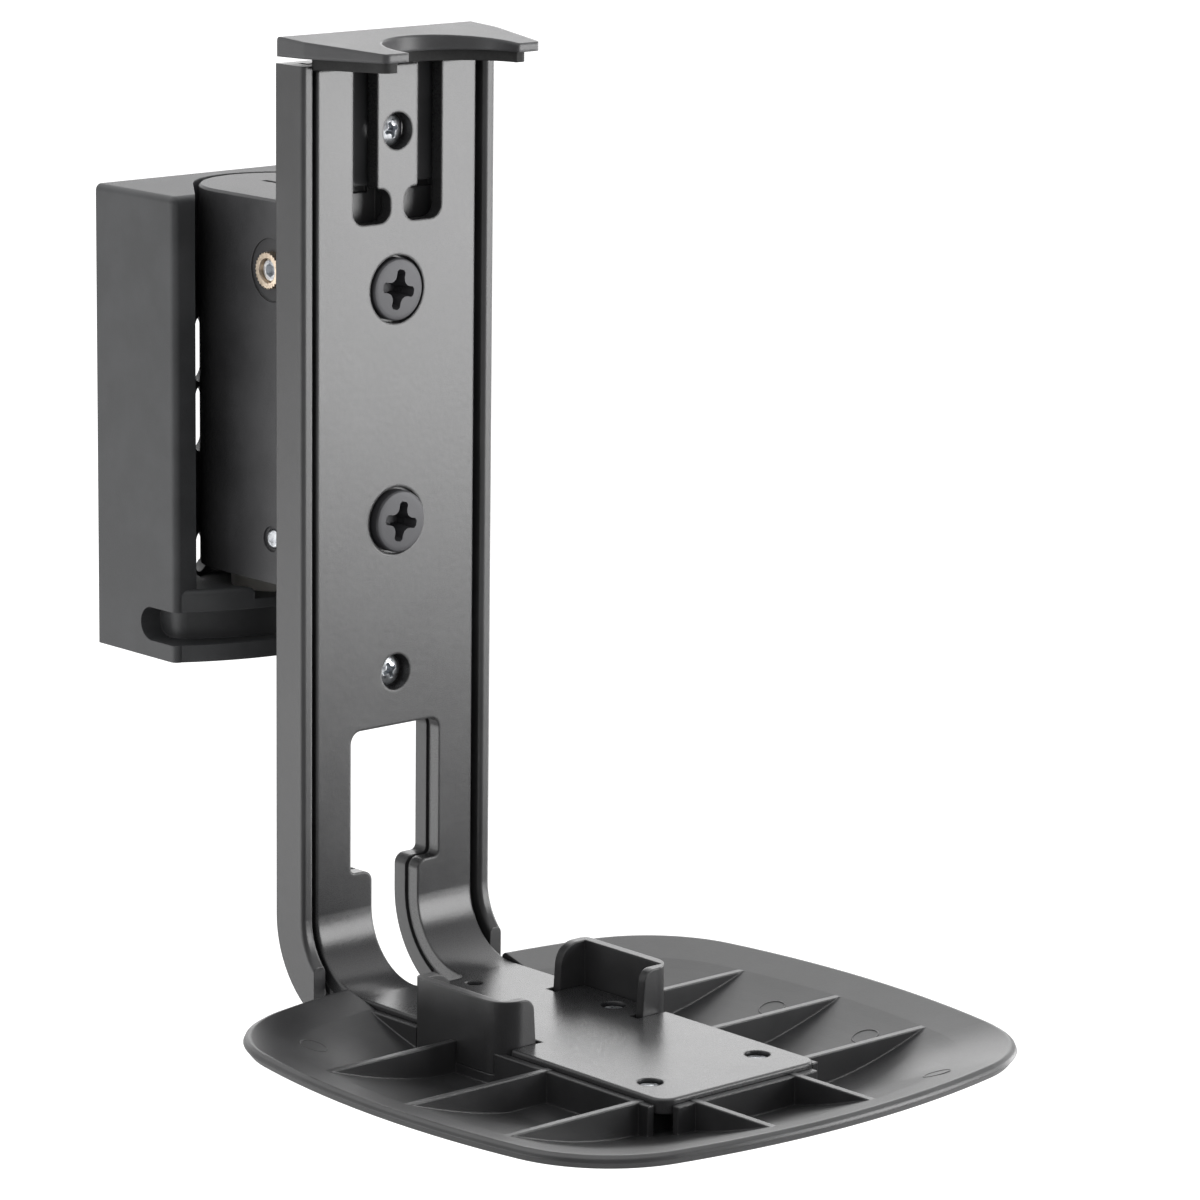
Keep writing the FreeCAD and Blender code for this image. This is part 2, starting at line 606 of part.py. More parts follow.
def lock_insert():
    seat = BLOCK_RADIUS - LOCK_RECESS_DEPTH
    barrel = rod(V(CAVITY_HALF, TILT_Y, LOCK_Z), V(1, 0, 0), INSERT_RADIUS, seat - CAVITY_HALF)
    body = barrel.fuse(toothed_rim(seat))
    bore = CHEEK + INSERT_RIM + 1
    return body.cut(rod(V(CAVITY_HALF, TILT_Y, LOCK_Z), V(1, 0, 0), LOCK_SCREW_RADIUS + FIT, bore))


def lock_screw():
    tip = CARRIER_HALF + LOCK_TIP_GAP
    end = BLOCK_RADIUS - LOCK_RECESS_DEPTH + INSERT_RIM / 2
    screw = rod(V(tip, TILT_Y, LOCK_Z), V(1, 0, 0), LOCK_SCREW_RADIUS, end - tip)
    rims = edges_at(screw, lambda e: abs(e.CenterOfMass.x - end) < 1e-4)
    screw = screw.makeChamfer(LOCK_SCREW_RADIUS / 6, rims)
    bottom = end - LOCK_SOCKET_DEPTH
    flats = LOCK_SOCKET_RADIUS * math.sqrt(3)
    socket = hexagon(flats, lambda u, v: V(bottom, TILT_Y + u, LOCK_Z + v), V(LOCK_SOCKET_DEPTH, 0, 0))
    return screw.cut(socket)


def tilt_carrier():
    front, web = SHELL_BACK_Y, CARRIER_BACK_Y
    back = TILT_Y + CARRIER_BEHIND_AXIS
    low, high = TILT_Z - CARRIER_BELOW_AXIS, TILT_Z + CARRIER_ABOVE_AXIS
    half, inner = CARRIER_HALF, CARRIER_HALF - CARRIER_SHEET
    bend = CARRIER_BEND - CARRIER_SHEET
    plan = [(-half, front, CARRIER_BEND), (half, front, CARRIER_BEND), (half, back, 0), (inner, back, 0)]
    plan += [(inner, web, bend), (-inner, web, bend), (-inner, back, 0), (-half, back, 0)]
    channel = prism(plan, at_z(low), V(0, 0, high - low))
    corner = CARRIER_CORNER
    side = [(front, low, 0), (back, low, corner), (back, high, corner), (front, high, 0)]
    channel = channel.common(prism(side, at_x(-half), V(2 * half, 0, 0)))
    channel = channel.cut(rod(V(-half, TILT_Y, TILT_Z), V(1, 0, 0), TILT_PIN_RADIUS + FIT, 2 * half))
    for z in ARM_BOLT_HEIGHTS:
        channel = channel.cut(rod(V(0, front, z), V(0, 1, 0), ARM_BOLT_RADIUS + HOLE_GAP, CARRIER_SHEET))
    return channel


def carrier_nut(z):
    nut = hexagon(ARM_NUT_FLATS, lambda u, v: V(u, CARRIER_BACK_Y, z + v), V(0, ARM_NUT_HEIGHT, 0))
    return nut.cut(rod(V(0, CARRIER_BACK_Y, z), V(0, 1, 0), ARM_BOLT_RADIUS + FIT, ARM_NUT_HEIGHT))


def cable_cutout(margin=0.0):
    """Cable window of the arm, and the narrower slot that runs on round the bend."""
    half, slot = WINDOW_WIDTH / 2 + margin, CABLE_SLOT_WIDTH / 2 + margin
    low, high = TONGUE_Z + WINDOW_BOTTOM - margin, TONGUE_Z + WINDOW_TOP + margin
    foot = TONGUE_Z - SHELL_DEPTH - 1
    back = SHELL_DEPTH + 2
    right = [(slot, foot, 0), (slot, low, STEP_CORNER), (half, low, STEP_HOLLOW), (half, high, WINDOW_CORNER)]
    left = [(-u, v, radius) for u, v, radius in reversed(right)]
    window = prism(right + left, at_y(FACE_Y - 1), V(0, back, 0))
    end = FACE_Y - CABLE_SLOT_RUN - margin
    plan = [(-slot, FACE_Y + back, 0), (slot, FACE_Y + back, 0), (slot, end, WINDOW_CORNER)]
    plan.append((-slot, end, WINDOW_CORNER))
    return window.fuse(prism(plan, at_z(foot), V(0, 0, low - STEP_CORNER - foot)))


def fork_cut(side):
    """One slot of the fork, open at the top, with its foot towards the middle."""
    outer, inner = FORK_OFFSET + FORK_WIDTH / 2, FORK_OFFSET - FORK_WIDTH / 2
    low, top = TONGUE_Z + FORK_BOTTOM, TONGUE_Z + PLATE_HEIGHT + 1
    step = low + FOOT_HEIGHT
    points = [(outer, top, 0), (outer, low, FOOT_CORNER), (FOOT_INNER, low, FOOT_CORNER)]
    points += [(FOOT_INNER, step, FOOT_CORNER), (inner, step, 0.5), (inner, top, 0)]
    cut = prism(points, at_y(FACE_Y - 1), V(0, PLATE_THICKNESS + 2, 0))
    return cut if side > 0 else mirror_x(cut)


def clip_notches():
    body = None
    gap = PLATE_SIDE_GAP
    low, high = PLATE_UNDER_Z - 1, TONGUE_Z + 1
    for y in (CLIP_NEAR_Y, CLIP_FAR_Y + CLIP_WALL):
        for side in (-1, 1):
            inner, outer = side * (CLIP_INNER - CLIP_NOTCH_REACH), side * (PLATE_HALF + 1)
            cut = box(inner, outer, y + gap, y - CLIP_WALL - gap, low, high)
            body = cut if body is None else body.fuse(cut)
    return body


def plate_blank():
    top = TONGUE_Z + PLATE_HEIGHT
    blank = bent_strip(0, PLATE_THICKNESS, top, -PLATE_HALF, PLATE_HALF, 90, PLATE_END_Y)
    blank = blank.makeFillet(PLATE_CORNER, edges_at(blank, on_end_corner))
    return blank.makeFillet(PLATE_EDGE, edges_at(blank, on_face_side))


def on_end_corner(edge):
    """True for the two short upright edges at the tongue's end."""
    at_end = abs(edge.CenterOfMass.y - PLATE_END_Y) < 1e-4
    return at_end and abs(edge.Length - PLATE_THICKNESS) < 1e-4


def on_face_side(edge):
    """True for the long outer edges of the arm plate's front and upper face."""
    spot = edge.CenterOfMass
    if edge.Length < PLATE_THICKNESS + 1e-4 or spot.z > TONGUE_Z + PLATE_HEIGHT - 1e-4:
        return False
    upright = all(abs(v.Y - FACE_Y) < 1e-4 for v in edge.Vertexes)
    level = all(abs(v.Z - TONGUE_Z) < 1e-4 for v in edge.Vertexes)
    bend_inner = math.hypot(spot.y - BEND_Y, spot.z - BEND_Z) < PLATE_BEND + 1e-4
    bend = len(edge.Vertexes) == 2 and bend_inner and abs(edge.Length - PLATE_BEND * math.pi / 2) < 1e-3
    across = abs(spot.x) < PLATE_HALF / 2 and upright
    return (upright or level or bend) and not across


def arm_plate():
    body = plate_blank().cut(cable_cutout()).cut(fork_cut(-1)).cut(fork_cut(1)).cut(clip_notches())
    back = V(0, 1, 0)
    for z, sink in zip(ARM_BOLT_HEIGHTS, ARM_BOLT_SINKS):
        body = body.cut(rod(V(0, FACE_Y, z), back, ARM_BOLT_RADIUS + HOLE_GAP, PLATE_THICKNESS))
        body = body.cut(rod(V(0, FACE_Y, z), back, ARM_BOLT_SINK_RADIUS, sink))
    for height in SHELL_SCREW_HEIGHTS:
        body = body.cut(rod(V(0, FACE_Y, TONGUE_Z + height), back, SHELL_SCREW_HOLE_RADIUS, PLATE_THICKNESS))
    for screw in tray_screw_set():
        top = V(screw.x, screw.y, PLATE_UNDER_Z)
        body = body.cut(rod(top, V(0, 0, 1), screw.radius + HOLE_GAP, PLATE_THICKNESS))
    return body


def shell_rim(inner, outer):
    """Side rim of the shell, with a rounded front."""
    rim = bent_strip(-SHELL_RIM_STAND, SHELL_DEPTH, TONGUE_Z + SHELL_HEIGHT, inner, outer, SHELL_BEND_ANGLE)
    front = FACE_Y - SHELL_RIM_STAND
    radius = PLATE_BEND - SHELL_RIM_STAND

    def on_front(edge):
        along = abs(edge.Vertexes[0].X - edge.Vertexes[-1].X) < 1e-4
        upright = all(abs(v.Y - front) < 1e-4 for v in edge.Vertexes)
        bend = all(abs(math.hypot(v.Y - BEND_Y, v.Z - BEND_Z) - radius) < 1e-4 for v in edge.Vertexes)
        return along and (upright or bend)

    return rim.makeFillet(SHELL_RIM_EDGE, edges_at(rim, on_front))


def arm_shell():
    top = TONGUE_Z + SHELL_HEIGHT
    angle = SHELL_BEND_ANGLE
    body = bent_strip(PLATE_THICKNESS, SHELL_DEPTH, top, -SHELL_HALF, SHELL_HALF, angle)
    for side in (-1, 1):
        outer, inner = side * SHELL_HALF, side * (SHELL_HALF - SHELL_RIM)
        body = body.fuse(shell_rim(inner, outer))
        ledge = side * (PLATE_HALF + FIT)
        floor = PLATE_THICKNESS + SHELL_GROOVE_DEPTH
        body = body.cut(bent_strip(-SHELL_RIM_STAND, floor, top, ledge, inner, angle))
        leg = side * FORK_OFFSET
        wide = LEG_WIDTH / 2 + LEG_GAP
        deep = SHELL_SEAT_Y + LEG_SET_BACK + LEG_THICKNESS + LEG_GAP
        low = CAP_BOTTOM_Z - LEG_LENGTH - CAP_GAP - LEG_GAP
        body = body.cut(box(leg - wide, leg + wide, SHELL_SEAT_Y - 1, deep, low, top))
        foot = TONGUE_Z + FORK_BOTTOM - FOOT_MARGIN
        near, far = side * (FOOT_INNER - LEG_GAP), leg + side * wide
        body = body.cut(box(near, far, SHELL_SEAT_Y - 1, SHELL_SEAT_Y + FOOT_RECESS, foot, low + 1))
    seat = bent_strip(PLATE_THICKNESS, PLATE_THICKNESS + SHELL_STEP_DEPTH, top, -inner, inner, angle)
    body = body.cut(cable_cutout()).cut(cable_cutout(SHELL_STEP_MARGIN).common(seat))
    end_y = FACE_Y - SHELL_END_AHEAD
    foot = PLATE_UNDER_Z - SHELL_DEPTH
    body = body.cut(box(-SHELL_WIDTH, SHELL_WIDTH, end_y - PLATE_BEND, end_y, foot, BEND_Z))
    for z in ARM_BOLT_HEIGHTS:
        body = body.cut(rod(V(0, FACE_Y, z), V(0, 1, 0), ARM_BOLT_RADIUS + HOLE_GAP, SHELL_DEPTH))
    for height in SHELL_SCREW_HEIGHTS:
        mouth = V(0, SHELL_SEAT_Y, TONGUE_Z + height)
        body = body.cut(rod(mouth, V(0, 1, 0), SHELL_SCREW_RADIUS + FIT, SHELL_SCREW_LENGTH))
    return body


def crown(centre, outward, radius, height):
    """Low dome of a screw head."""
    ball = (radius * radius + height * height) / (2 * height)
    sphere = Part.makeSphere(ball, centre - outward * (ball - height))
    return sphere.common(Part.makeCylinder(radius, height, centre, outward))


def arm_bolt(z, sink):
    seat = FACE_Y + sink
    end = CARRIER_BACK_Y + ARM_NUT_HEIGHT + ARM_BOLT_END
    outward = V(0, -1, 0)
    head = rod(V(0, seat, z), outward, ARM_BOLT_HEAD_RADIUS, ARM_BOLT_HEAD_HEIGHT)
    crown_foot = V(0, seat - ARM_BOLT_HEAD_HEIGHT, z)
    head = head.fuse(crown(crown_foot, outward, ARM_BOLT_HEAD_RADIUS, ARM_BOLT_HEAD_CROWN))
    body = head.fuse(rod(V(0, seat, z), V(0, 1, 0), ARM_BOLT_RADIUS, end - seat))
    face = seat - ARM_BOLT_HEAD_HEIGHT - ARM_BOLT_HEAD_CROWN
    return body.cut(cross(V(0, face, z), V(0, 1, 0), CROSS_SPAN))


def shell_screw(z):
    outward = V(0, -1, 0)
    straight = SHELL_SCREW_HEAD_HEIGHT / 2
    head = rod(V(0, SHELL_SEAT_Y, z), outward, SHELL_SCREW_HEAD_RADIUS, straight)
    head = head.fuse(crown(V(0, SHELL_SEAT_Y - straight, z), outward, SHELL_SCREW_HEAD_RADIUS, straight))
    length = SHELL_SCREW_LENGTH - HOLE_GAP
    body = head.fuse(rod(V(0, SHELL_SEAT_Y, z), V(0, 1, 0), SHELL_SCREW_RADIUS, length))
    drive = cross(V(0, SHELL_SEAT_Y - SHELL_SCREW_HEAD_HEIGHT, z), V(0, 1, 0), SHELL_SCREW_HEAD_RADIUS)
    return body.cut(drive)


def cap_plan(inset, notch, back_y):
    tip, side = CAP_TIP_WIDTH / 2 - inset, CAP_WIDTH / 2 - inset
    tip_y = CAP_TIP_Y + inset
    shoulder_y = min(CAP_BACK_Y - CAP_SIDE_LENGTH, back_y - 0.5)
    points = [(-side, back_y, 0), (side, back_y, 0), (side, shoulder_y, 0), (tip, tip_y, CAP_CORNER)]
    points += [(-tip, tip_y, CAP_CORNER), (-side, shoulder_y, 0)]
    low = CAP_BOTTOM_Z - 2 * PAD_THICKNESS
    height = 4 * PAD_THICKNESS + CAP_BACK_THICKNESS
    body = prism(points, at_z(low), V(0, 0, height))
    return body.cut(rod(V(0, CAP_TIP_Y + CAP_NOTCH_FROM_TIP, low), V(0, 0, 1), notch, height))


def cap_underside(y):
    """Height of the cap's sloping underside at a place along Y."""
    rise = CAP_BACK_THICKNESS - CAP_FALL - CAP_TIP_THICKNESS
    return CAP_BOTTOM_Z + rise * (CAP_BACK_Y - y) / CAP_LENGTH


def cap_leg():
    """Flat leg that slides in the shell, close behind the fork of the plate."""
    front = SHELL_SEAT_Y + LEG_SET_BACK
    half = LEG_WIDTH / 2
    low, high = CAP_BOTTOM_Z - LEG_LENGTH, cap_underside(SHELL_SEAT_Y) + 1
    return box(FORK_OFFSET - half, FORK_OFFSET + half, front, front + LEG_THICKNESS, low, high)


def top_cap():
    top = CAP_BOTTOM_Z + CAP_BACK_THICKNESS
    tip_top = top - CAP_FALL
    half = CAP_WIDTH / 2
    side = [(CAP_BACK_Y, CAP_BOTTOM_Z, 0), (CAP_BACK_Y, top, CAP_EDGE), (CAP_TIP_Y, tip_top, 0)]
    side.append((CAP_TIP_Y, tip_top - CAP_TIP_THICKNESS, 0))
    wedge = prism(side, at_x(-half), V(CAP_WIDTH, 0, 0))
    body = wedge.common(cap_plan(0, CAP_NOTCH_RADIUS, CAP_BACK_Y))
    return body.fuse(cap_leg()).fuse(mirror_x(cap_leg())).removeSplitter()


def cap_pad():
    back_y = FACE_Y - PAD_BEHIND_FACE
    half = CAP_WIDTH / 2
    near, far = cap_underside(back_y), cap_underside(CAP_TIP_Y)
    side = [(back_y, near, 0), (CAP_TIP_Y, far, 0), (CAP_TIP_Y, far - PAD_THICKNESS, 0)]
    side.append((back_y, near - PAD_THICKNESS, 0))
    layer = prism(side, at_x(-half), V(CAP_WIDTH, 0, 0))
    return layer.common(cap_plan(PAD_INSET, CAP_NOTCH_RADIUS + PAD_INSET / 2, back_y))


def tray_wire(height, scale):
    """Outline of the tray: four bowed sides and four round corners, all tangent arcs."""
    side, corner = TRAY_SIDE_RADIUS, TRAY_CORNER_RADIUS
    a, b = side - TRAY_HALF_WIDTH, side - TRAY_HALF_LENGTH
    span = math.hypot(a, b)
    rise = math.sqrt((side - corner) ** 2 - span * span / 4)
    centre = V(-a / 2 + rise * b / span, -b / 2 + rise * a / span, 0)
    first = (centre - V(-a, 0, 0)).normalize()
    second = (centre - V(0, -b, 0)).normalize()
    start = centre + first * corner
    end = centre + second * corner
    middle = centre + (first + second).normalize() * corner

    def place(point, sx, sy):
        return V(sx * point.x * scale, TRAY_Y + sy * point.y * scale, TONGUE_Z + height)

    edges = []
    for sx, sy in ((1, 1), (-1, 1), (-1, -1), (1, -1)):
        points = [place(start, sx, sy), place(middle, sx, sy), place(end, sx, sy)]
        edges.append(Part.Arc(*(points if sx * sy > 0 else points[::-1])).toShape())
        if sx * sy > 0:
            bow = [place(end, sx, sy), place(V(0, TRAY_HALF_LENGTH, 0), 1, sy), place(end, -sx, sy)]
        else:
            bow = [place(start, sx, sy), place(V(TRAY_HALF_WIDTH, 0, 0), sx, 1), place(start, sx, -sy)]
        edges.append(Part.Arc(*bow).toShape())
    return Part.Wire(edges)


def tray_inside():
    """Heights and scales of the hollow: a bowl up to the ends of the ribs, and the slope of the rim."""
    (low, narrow), (high, wide) = TRAY_FLOOR, TRAY_RIB_END
    steps = [i / BOWL_STEPS for i in range(BOWL_STEPS + 1)]
    bowl = [(low + (high - low) * t ** BOWL_POWER, narrow + (wide - narrow) * t) for t in steps]
    return bowl + [TRAY_INNER_RIM]


def tray_dish():
    outer = Part.makeLoft([tray_wire(h, s) for h, s in TRAY_UNDERSIDE], True, True)
    inner = Part.makeLoft([tray_wire(h, s) for h, s in tray_inside()], True, True)
    return outer, outer.cut(inner)


class TrayScrew:
    """Place and sizes of a screw that holds the tray to the plate from below."""

    def __init__(self, x, ahead, seat_z, radius, head_radius):
        self.x = x
        self.y = FACE_Y - ahead
        self.seat_z = seat_z
        self.radius = radius
        self.head_radius = head_radius

    def hole(self):
        return rod(V(self.x, self.y, TRAY_LOW_Z), V(0, 0, 1), self.radius + FIT, TONGUE_Z - TRAY_LOW_Z)

    def head_space(self):
        radius = self.head_radius + HOLE_GAP
        return rod(V(self.x, self.y, self.seat_z), V(0, 0, -1), radius, 2 * TRAY_SCREW_HEAD_HEIGHT)

    def solid(self):
        end = TONGUE_Z - SCREW_BELOW_FACE
        shank = rod(V(self.x, self.y, self.seat_z), V(0, 0, 1), self.radius, end - self.seat_z)
        shank = shank.makeChamfer(self.radius / 6, edges_at(shank, lambda e: on_level(e, end)))
        foot = V(self.x, self.y, self.seat_z - TRAY_SCREW_HEAD_HEIGHT)
        head = rod(foot, V(0, 0, 1), self.head_radius, TRAY_SCREW_HEAD_HEIGHT)
        return shank.fuse(head).cut(cross(foot, V(0, 0, 1), self.head_radius))


def tray_screw_set():
    seat = TRAY_LOW_Z + TRAY_SCREW_SINK
    main = (seat, TRAY_SCREW_RADIUS, TRAY_SCREW_HEAD_RADIUS)
    back = (PLATE_UNDER_Z - BACK_BOSS_HEIGHT, BACK_SCREW_RADIUS, BACK_SCREW_HEAD_RADIUS)
    screws = []
    for side in (-1, 1):
        screws.append(TrayScrew(side * FRONT_SCREW_X, FRONT_SCREW_AHEAD, *main))
        screws.append(TrayScrew(side * CLIP_SCREW_X, CLIP_SCREW_AHEAD, *main))
        screws.append(TrayScrew(side * BACK_SCREW_X, BACK_SCREW_AHEAD, *back))
    return screws


def tray_ribs():
    """Ribs across the dish, and the frame of walls that the plate lies in, open at its front corners."""
    top = TONGUE_Z + RIB_TOP
    half = RIB_THICKNESS / 2
    ribs = []
    for step in (-1, 0, 1):
        y = TRAY_Y + step * RIB_PITCH
        ribs.append(box(-TRAY_HALF_WIDTH, TRAY_HALF_WIDTH, y - half, y + half, TRAY_LOW_Z, top))
    for x in (-FRONT_RIB_OFFSET, FRONT_RIB_OFFSET):
        ribs.append(box(x - half, x + half, TRAY_Y - TRAY_HALF_LENGTH, BEND_Y, TRAY_LOW_Z, top))
    frame_top = TONGUE_Z + FRAME_TOP
    outer = POCKET_HALF + FRAME_THICKNESS
    frame = box(-outer, outer, POCKET_FRONT_Y - FRAME_THICKNESS, BEND_Y, TRAY_LOW_Z, frame_top)
    inside = box(-POCKET_HALF, POCKET_HALF, POCKET_FRONT_Y, FACE_Y, TRAY_LOW_Z - 1, frame_top + 1)
    frame = frame.cut(inside)
    near, far = POCKET_FRONT_Y + FRAME_CORNER_GAP, POCKET_FRONT_Y - FRAME_THICKNESS - 1
    for side in (-1, 1):
        start, end = side * (POCKET_HALF - FRAME_CORNER_GAP), side * (outer + 1)
        frame = frame.cut(box(start, end, far, near, TRAY_LOW_Z - 1, frame_top + 1))
    ribs.append(frame)
    return ribs


def tray_bed():
    """Raised floor under the feet of the clips."""
    half = POCKET_HALF - 2 * FIT
    near, far = CLIP_NEAR_Y - CLIP_WALL - 2 * FIT, CLIP_FAR_Y + CLIP_WALL + 2 * FIT
    return box(-half, half, far, near, TRAY_LOW_Z, CLIP_FOOT_Z)


def tray_bosses():
    bosses = []
    for side in (-1, 1):
        front = V(side * FRONT_SCREW_X, FACE_Y - FRONT_SCREW_AHEAD, TRAY_LOW_Z)
        bosses.append(rod(front, V(0, 0, 1), TRAY_BOSS_RADIUS, PLATE_UNDER_Z - TRAY_LOW_Z))
        back = V(side * BACK_SCREW_X, FACE_Y - BACK_SCREW_AHEAD, PLATE_UNDER_Z - BACK_BOSS_HEIGHT)
        bosses.append(rod(back, V(0, 0, 1), BACK_BOSS_RADIUS, BACK_BOSS_HEIGHT))
    return bosses


def clip_walls(gap, z0, z1):
    """C of the right-hand clip's walls between two heights, grown by a gap all round."""
    inner, outer = POCKET_HALF - gap, POCKET_HALF + CLIP_WALL + gap
    near, far = CLIP_NEAR_Y + gap, CLIP_FAR_Y - gap
    wall, end = CLIP_WALL + 2 * gap, CLIP_INNER - gap
    points = [(outer, near, CLIP_BACK_CORNER), (outer, far, CLIP_FRONT_CORNER), (end, far, 0)]
    points += [(end, far + wall, 0), (inner, far + wall, 0), (inner, near - wall, 0)]
    points += [(end, near - wall, 0), (end, near, 0)]
    return prism(points, at_z(z0), V(0, 0, z1 - z0))


def clip_side(y0, y1, tip):
    """Space that one end of the clip fills, seen along Y, with its tip rounded at the top."""
    outer = POCKET_HALF + CLIP_WALL
    points = [(outer, CLIP_FOOT_Z, 0), (outer, CLIP_TOP_Z, 0), (CLIP_INNER + CLIP_LEAN, CLIP_TOP_Z, tip)]
    points += [(CLIP_INNER, TONGUE_Z, 0), (CLIP_INNER, CLIP_FOOT_Z, 0)]
    return prism(points, at_y(y0), V(0, y1 - y0, 0))


def tray_clip():
    middle = (CLIP_NEAR_Y + CLIP_FAR_Y) / 2
    walls = clip_walls(0, CLIP_FOOT_Z, CLIP_TOP_Z)
    back = walls.common(clip_side(middle, CLIP_NEAR_Y, CLIP_BACK_TIP))
    front = walls.common(clip_side(CLIP_FAR_Y, middle, CLIP_FRONT_TIP))
    inner = POCKET_HALF - CLIP_FOOT_REACH
    near, far = CLIP_NEAR_Y - CLIP_WALL, CLIP_FAR_Y + CLIP_WALL
    foot = box(inner, POCKET_HALF, far, near, CLIP_FOOT_Z, PLATE_UNDER_Z)
    below = V(CLIP_SCREW_X, FACE_Y - CLIP_SCREW_AHEAD, CLIP_FOOT_Z)
    hole = rod(below, V(0, 0, 1), TRAY_SCREW_RADIUS + FIT, CLIP_FOOT_THICKNESS)
    return back.multiFuse([front, foot]).removeSplitter().cut(hole)


def tray():
    outer, body = tray_dish()
    ribs = tray_ribs()
    stub = clip_walls(0, TRAY_LOW_Z, CLIP_FOOT_Z)
    lattice = ribs[0].multiFuse(ribs[1:] + [tray_bed(), stub, mirror_x(stub)]).common(outer)
    body = body.multiFuse([lattice] + tray_bosses())
    body = body.cut(box(-POCKET_HALF, POCKET_HALF, POCKET_FRONT_Y, FACE_Y, PLATE_UNDER_Z, CLIP_TOP_Z))
    near, far = CLIP_NEAR_Y - CLIP_WALL, CLIP_FAR_Y + CLIP_WALL
    body = body.cut(box(-POCKET_HALF, POCKET_HALF, far, near, CLIP_FOOT_Z, PLATE_UNDER_Z))
    room = clip_walls(FIT, CLIP_FOOT_Z, CLIP_TOP_Z)
    body = body.cut(room).cut(mirror_x(room))
    for screw in tray_screw_set():
        body = body.cut(screw.hole()).cut(screw.head_space())
    return body.removeSplitter()


def main():
    os.makedirs("parts", exist_ok=True)
    save("wall_plate", wall_plate())
    save("wall_housing", wall_housing())
    for i, (x, z) in enumerate(fixing_places()):
        save("housing_screw_%d" % (i + 1), fixing_screw(x, z))
    save("swivel_post", swivel_post())
    save("post_nut", post_nut())
    save("swivel_bush", swivel_bush())
    save("swivel_block", swivel_block())
    for name, make in (("tilt_pin", tilt_pin), ("lock_insert", lock_insert), ("lock_screw", lock_screw)):
        save(name + "_right", make())
        save(name + "_left", mirror_x(make()))
    save("tilt_carrier", tilt_carrier())
    for name, z, sink in zip(("lower", "upper"), ARM_BOLT_HEIGHTS, ARM_BOLT_SINKS):
        save("carrier_nut_" + name, carrier_nut(z))
        save("arm_bolt_" + name, arm_bolt(z, sink))
    for name, height in zip(("lower", "upper"), SHELL_SCREW_HEIGHTS):
        save("shell_screw_" + name, shell_screw(TONGUE_Z + height))
    save("arm_shell", arm_shell())
    save("arm_plate", arm_plate())
    save("tray", tray())
    save("tray_clip_right", tray_clip())
    save("tray_clip_left", mirror_x(tray_clip()))
    for i, screw in enumerate(tray_screw_set()):
        save("tray_screw_%d" % (i + 1), screw.solid())
    save("top_cap", top_cap())
    save("cap_pad", cap_pad())


main()
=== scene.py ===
"""Dressed model of a wall bracket for a small speaker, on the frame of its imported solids.

The bracket has a housing on the wall, a block that swivels in it, and an arm of sheet steel with a moulded
back shell. A cap slides in the top of the arm and a ribbed tray hangs under its tongue.
"""

import logging
import math
from dataclasses import dataclass, replace
from enum import Enum
from typing import Union

import bmesh
import bpy
from mathutils import Matrix, Vector


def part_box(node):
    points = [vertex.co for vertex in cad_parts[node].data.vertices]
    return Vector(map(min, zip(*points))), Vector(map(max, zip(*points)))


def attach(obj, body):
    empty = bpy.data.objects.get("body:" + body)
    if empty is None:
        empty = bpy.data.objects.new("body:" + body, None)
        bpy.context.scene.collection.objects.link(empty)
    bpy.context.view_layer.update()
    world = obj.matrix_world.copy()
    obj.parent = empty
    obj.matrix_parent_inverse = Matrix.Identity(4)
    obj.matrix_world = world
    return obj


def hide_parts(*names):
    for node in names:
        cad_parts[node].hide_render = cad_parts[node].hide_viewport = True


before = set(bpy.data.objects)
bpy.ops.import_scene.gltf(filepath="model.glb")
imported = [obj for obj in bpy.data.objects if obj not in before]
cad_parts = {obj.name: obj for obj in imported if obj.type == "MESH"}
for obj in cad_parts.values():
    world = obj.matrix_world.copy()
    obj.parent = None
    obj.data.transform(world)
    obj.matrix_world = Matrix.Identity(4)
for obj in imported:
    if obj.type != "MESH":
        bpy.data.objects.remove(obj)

log = logging.getLogger("bracket")

MM = 0.001

MERGE_DISTANCE = 1e-6
LATHE_MERGE_DISTANCE = 1e-7
SHARP_ANGLE = math.radians(32)
QUARTER_ARC = tuple(math.pi / 8 * i for i in range(5))

EDGE_SAMPLES = 6
EDGE_START = 0.01
EDGE_END = 0.22
NOISE_ROUGHNESS = 0.55
PLASTIC_IOR = 1.5

Colour = tuple[float, float, float]
Pair = tuple[float, float]


class Body(Enum):
    """Bodies of the frame that the added pieces ride on."""

    WALL = "wall"
    ARM = "arm"


# Shader maths


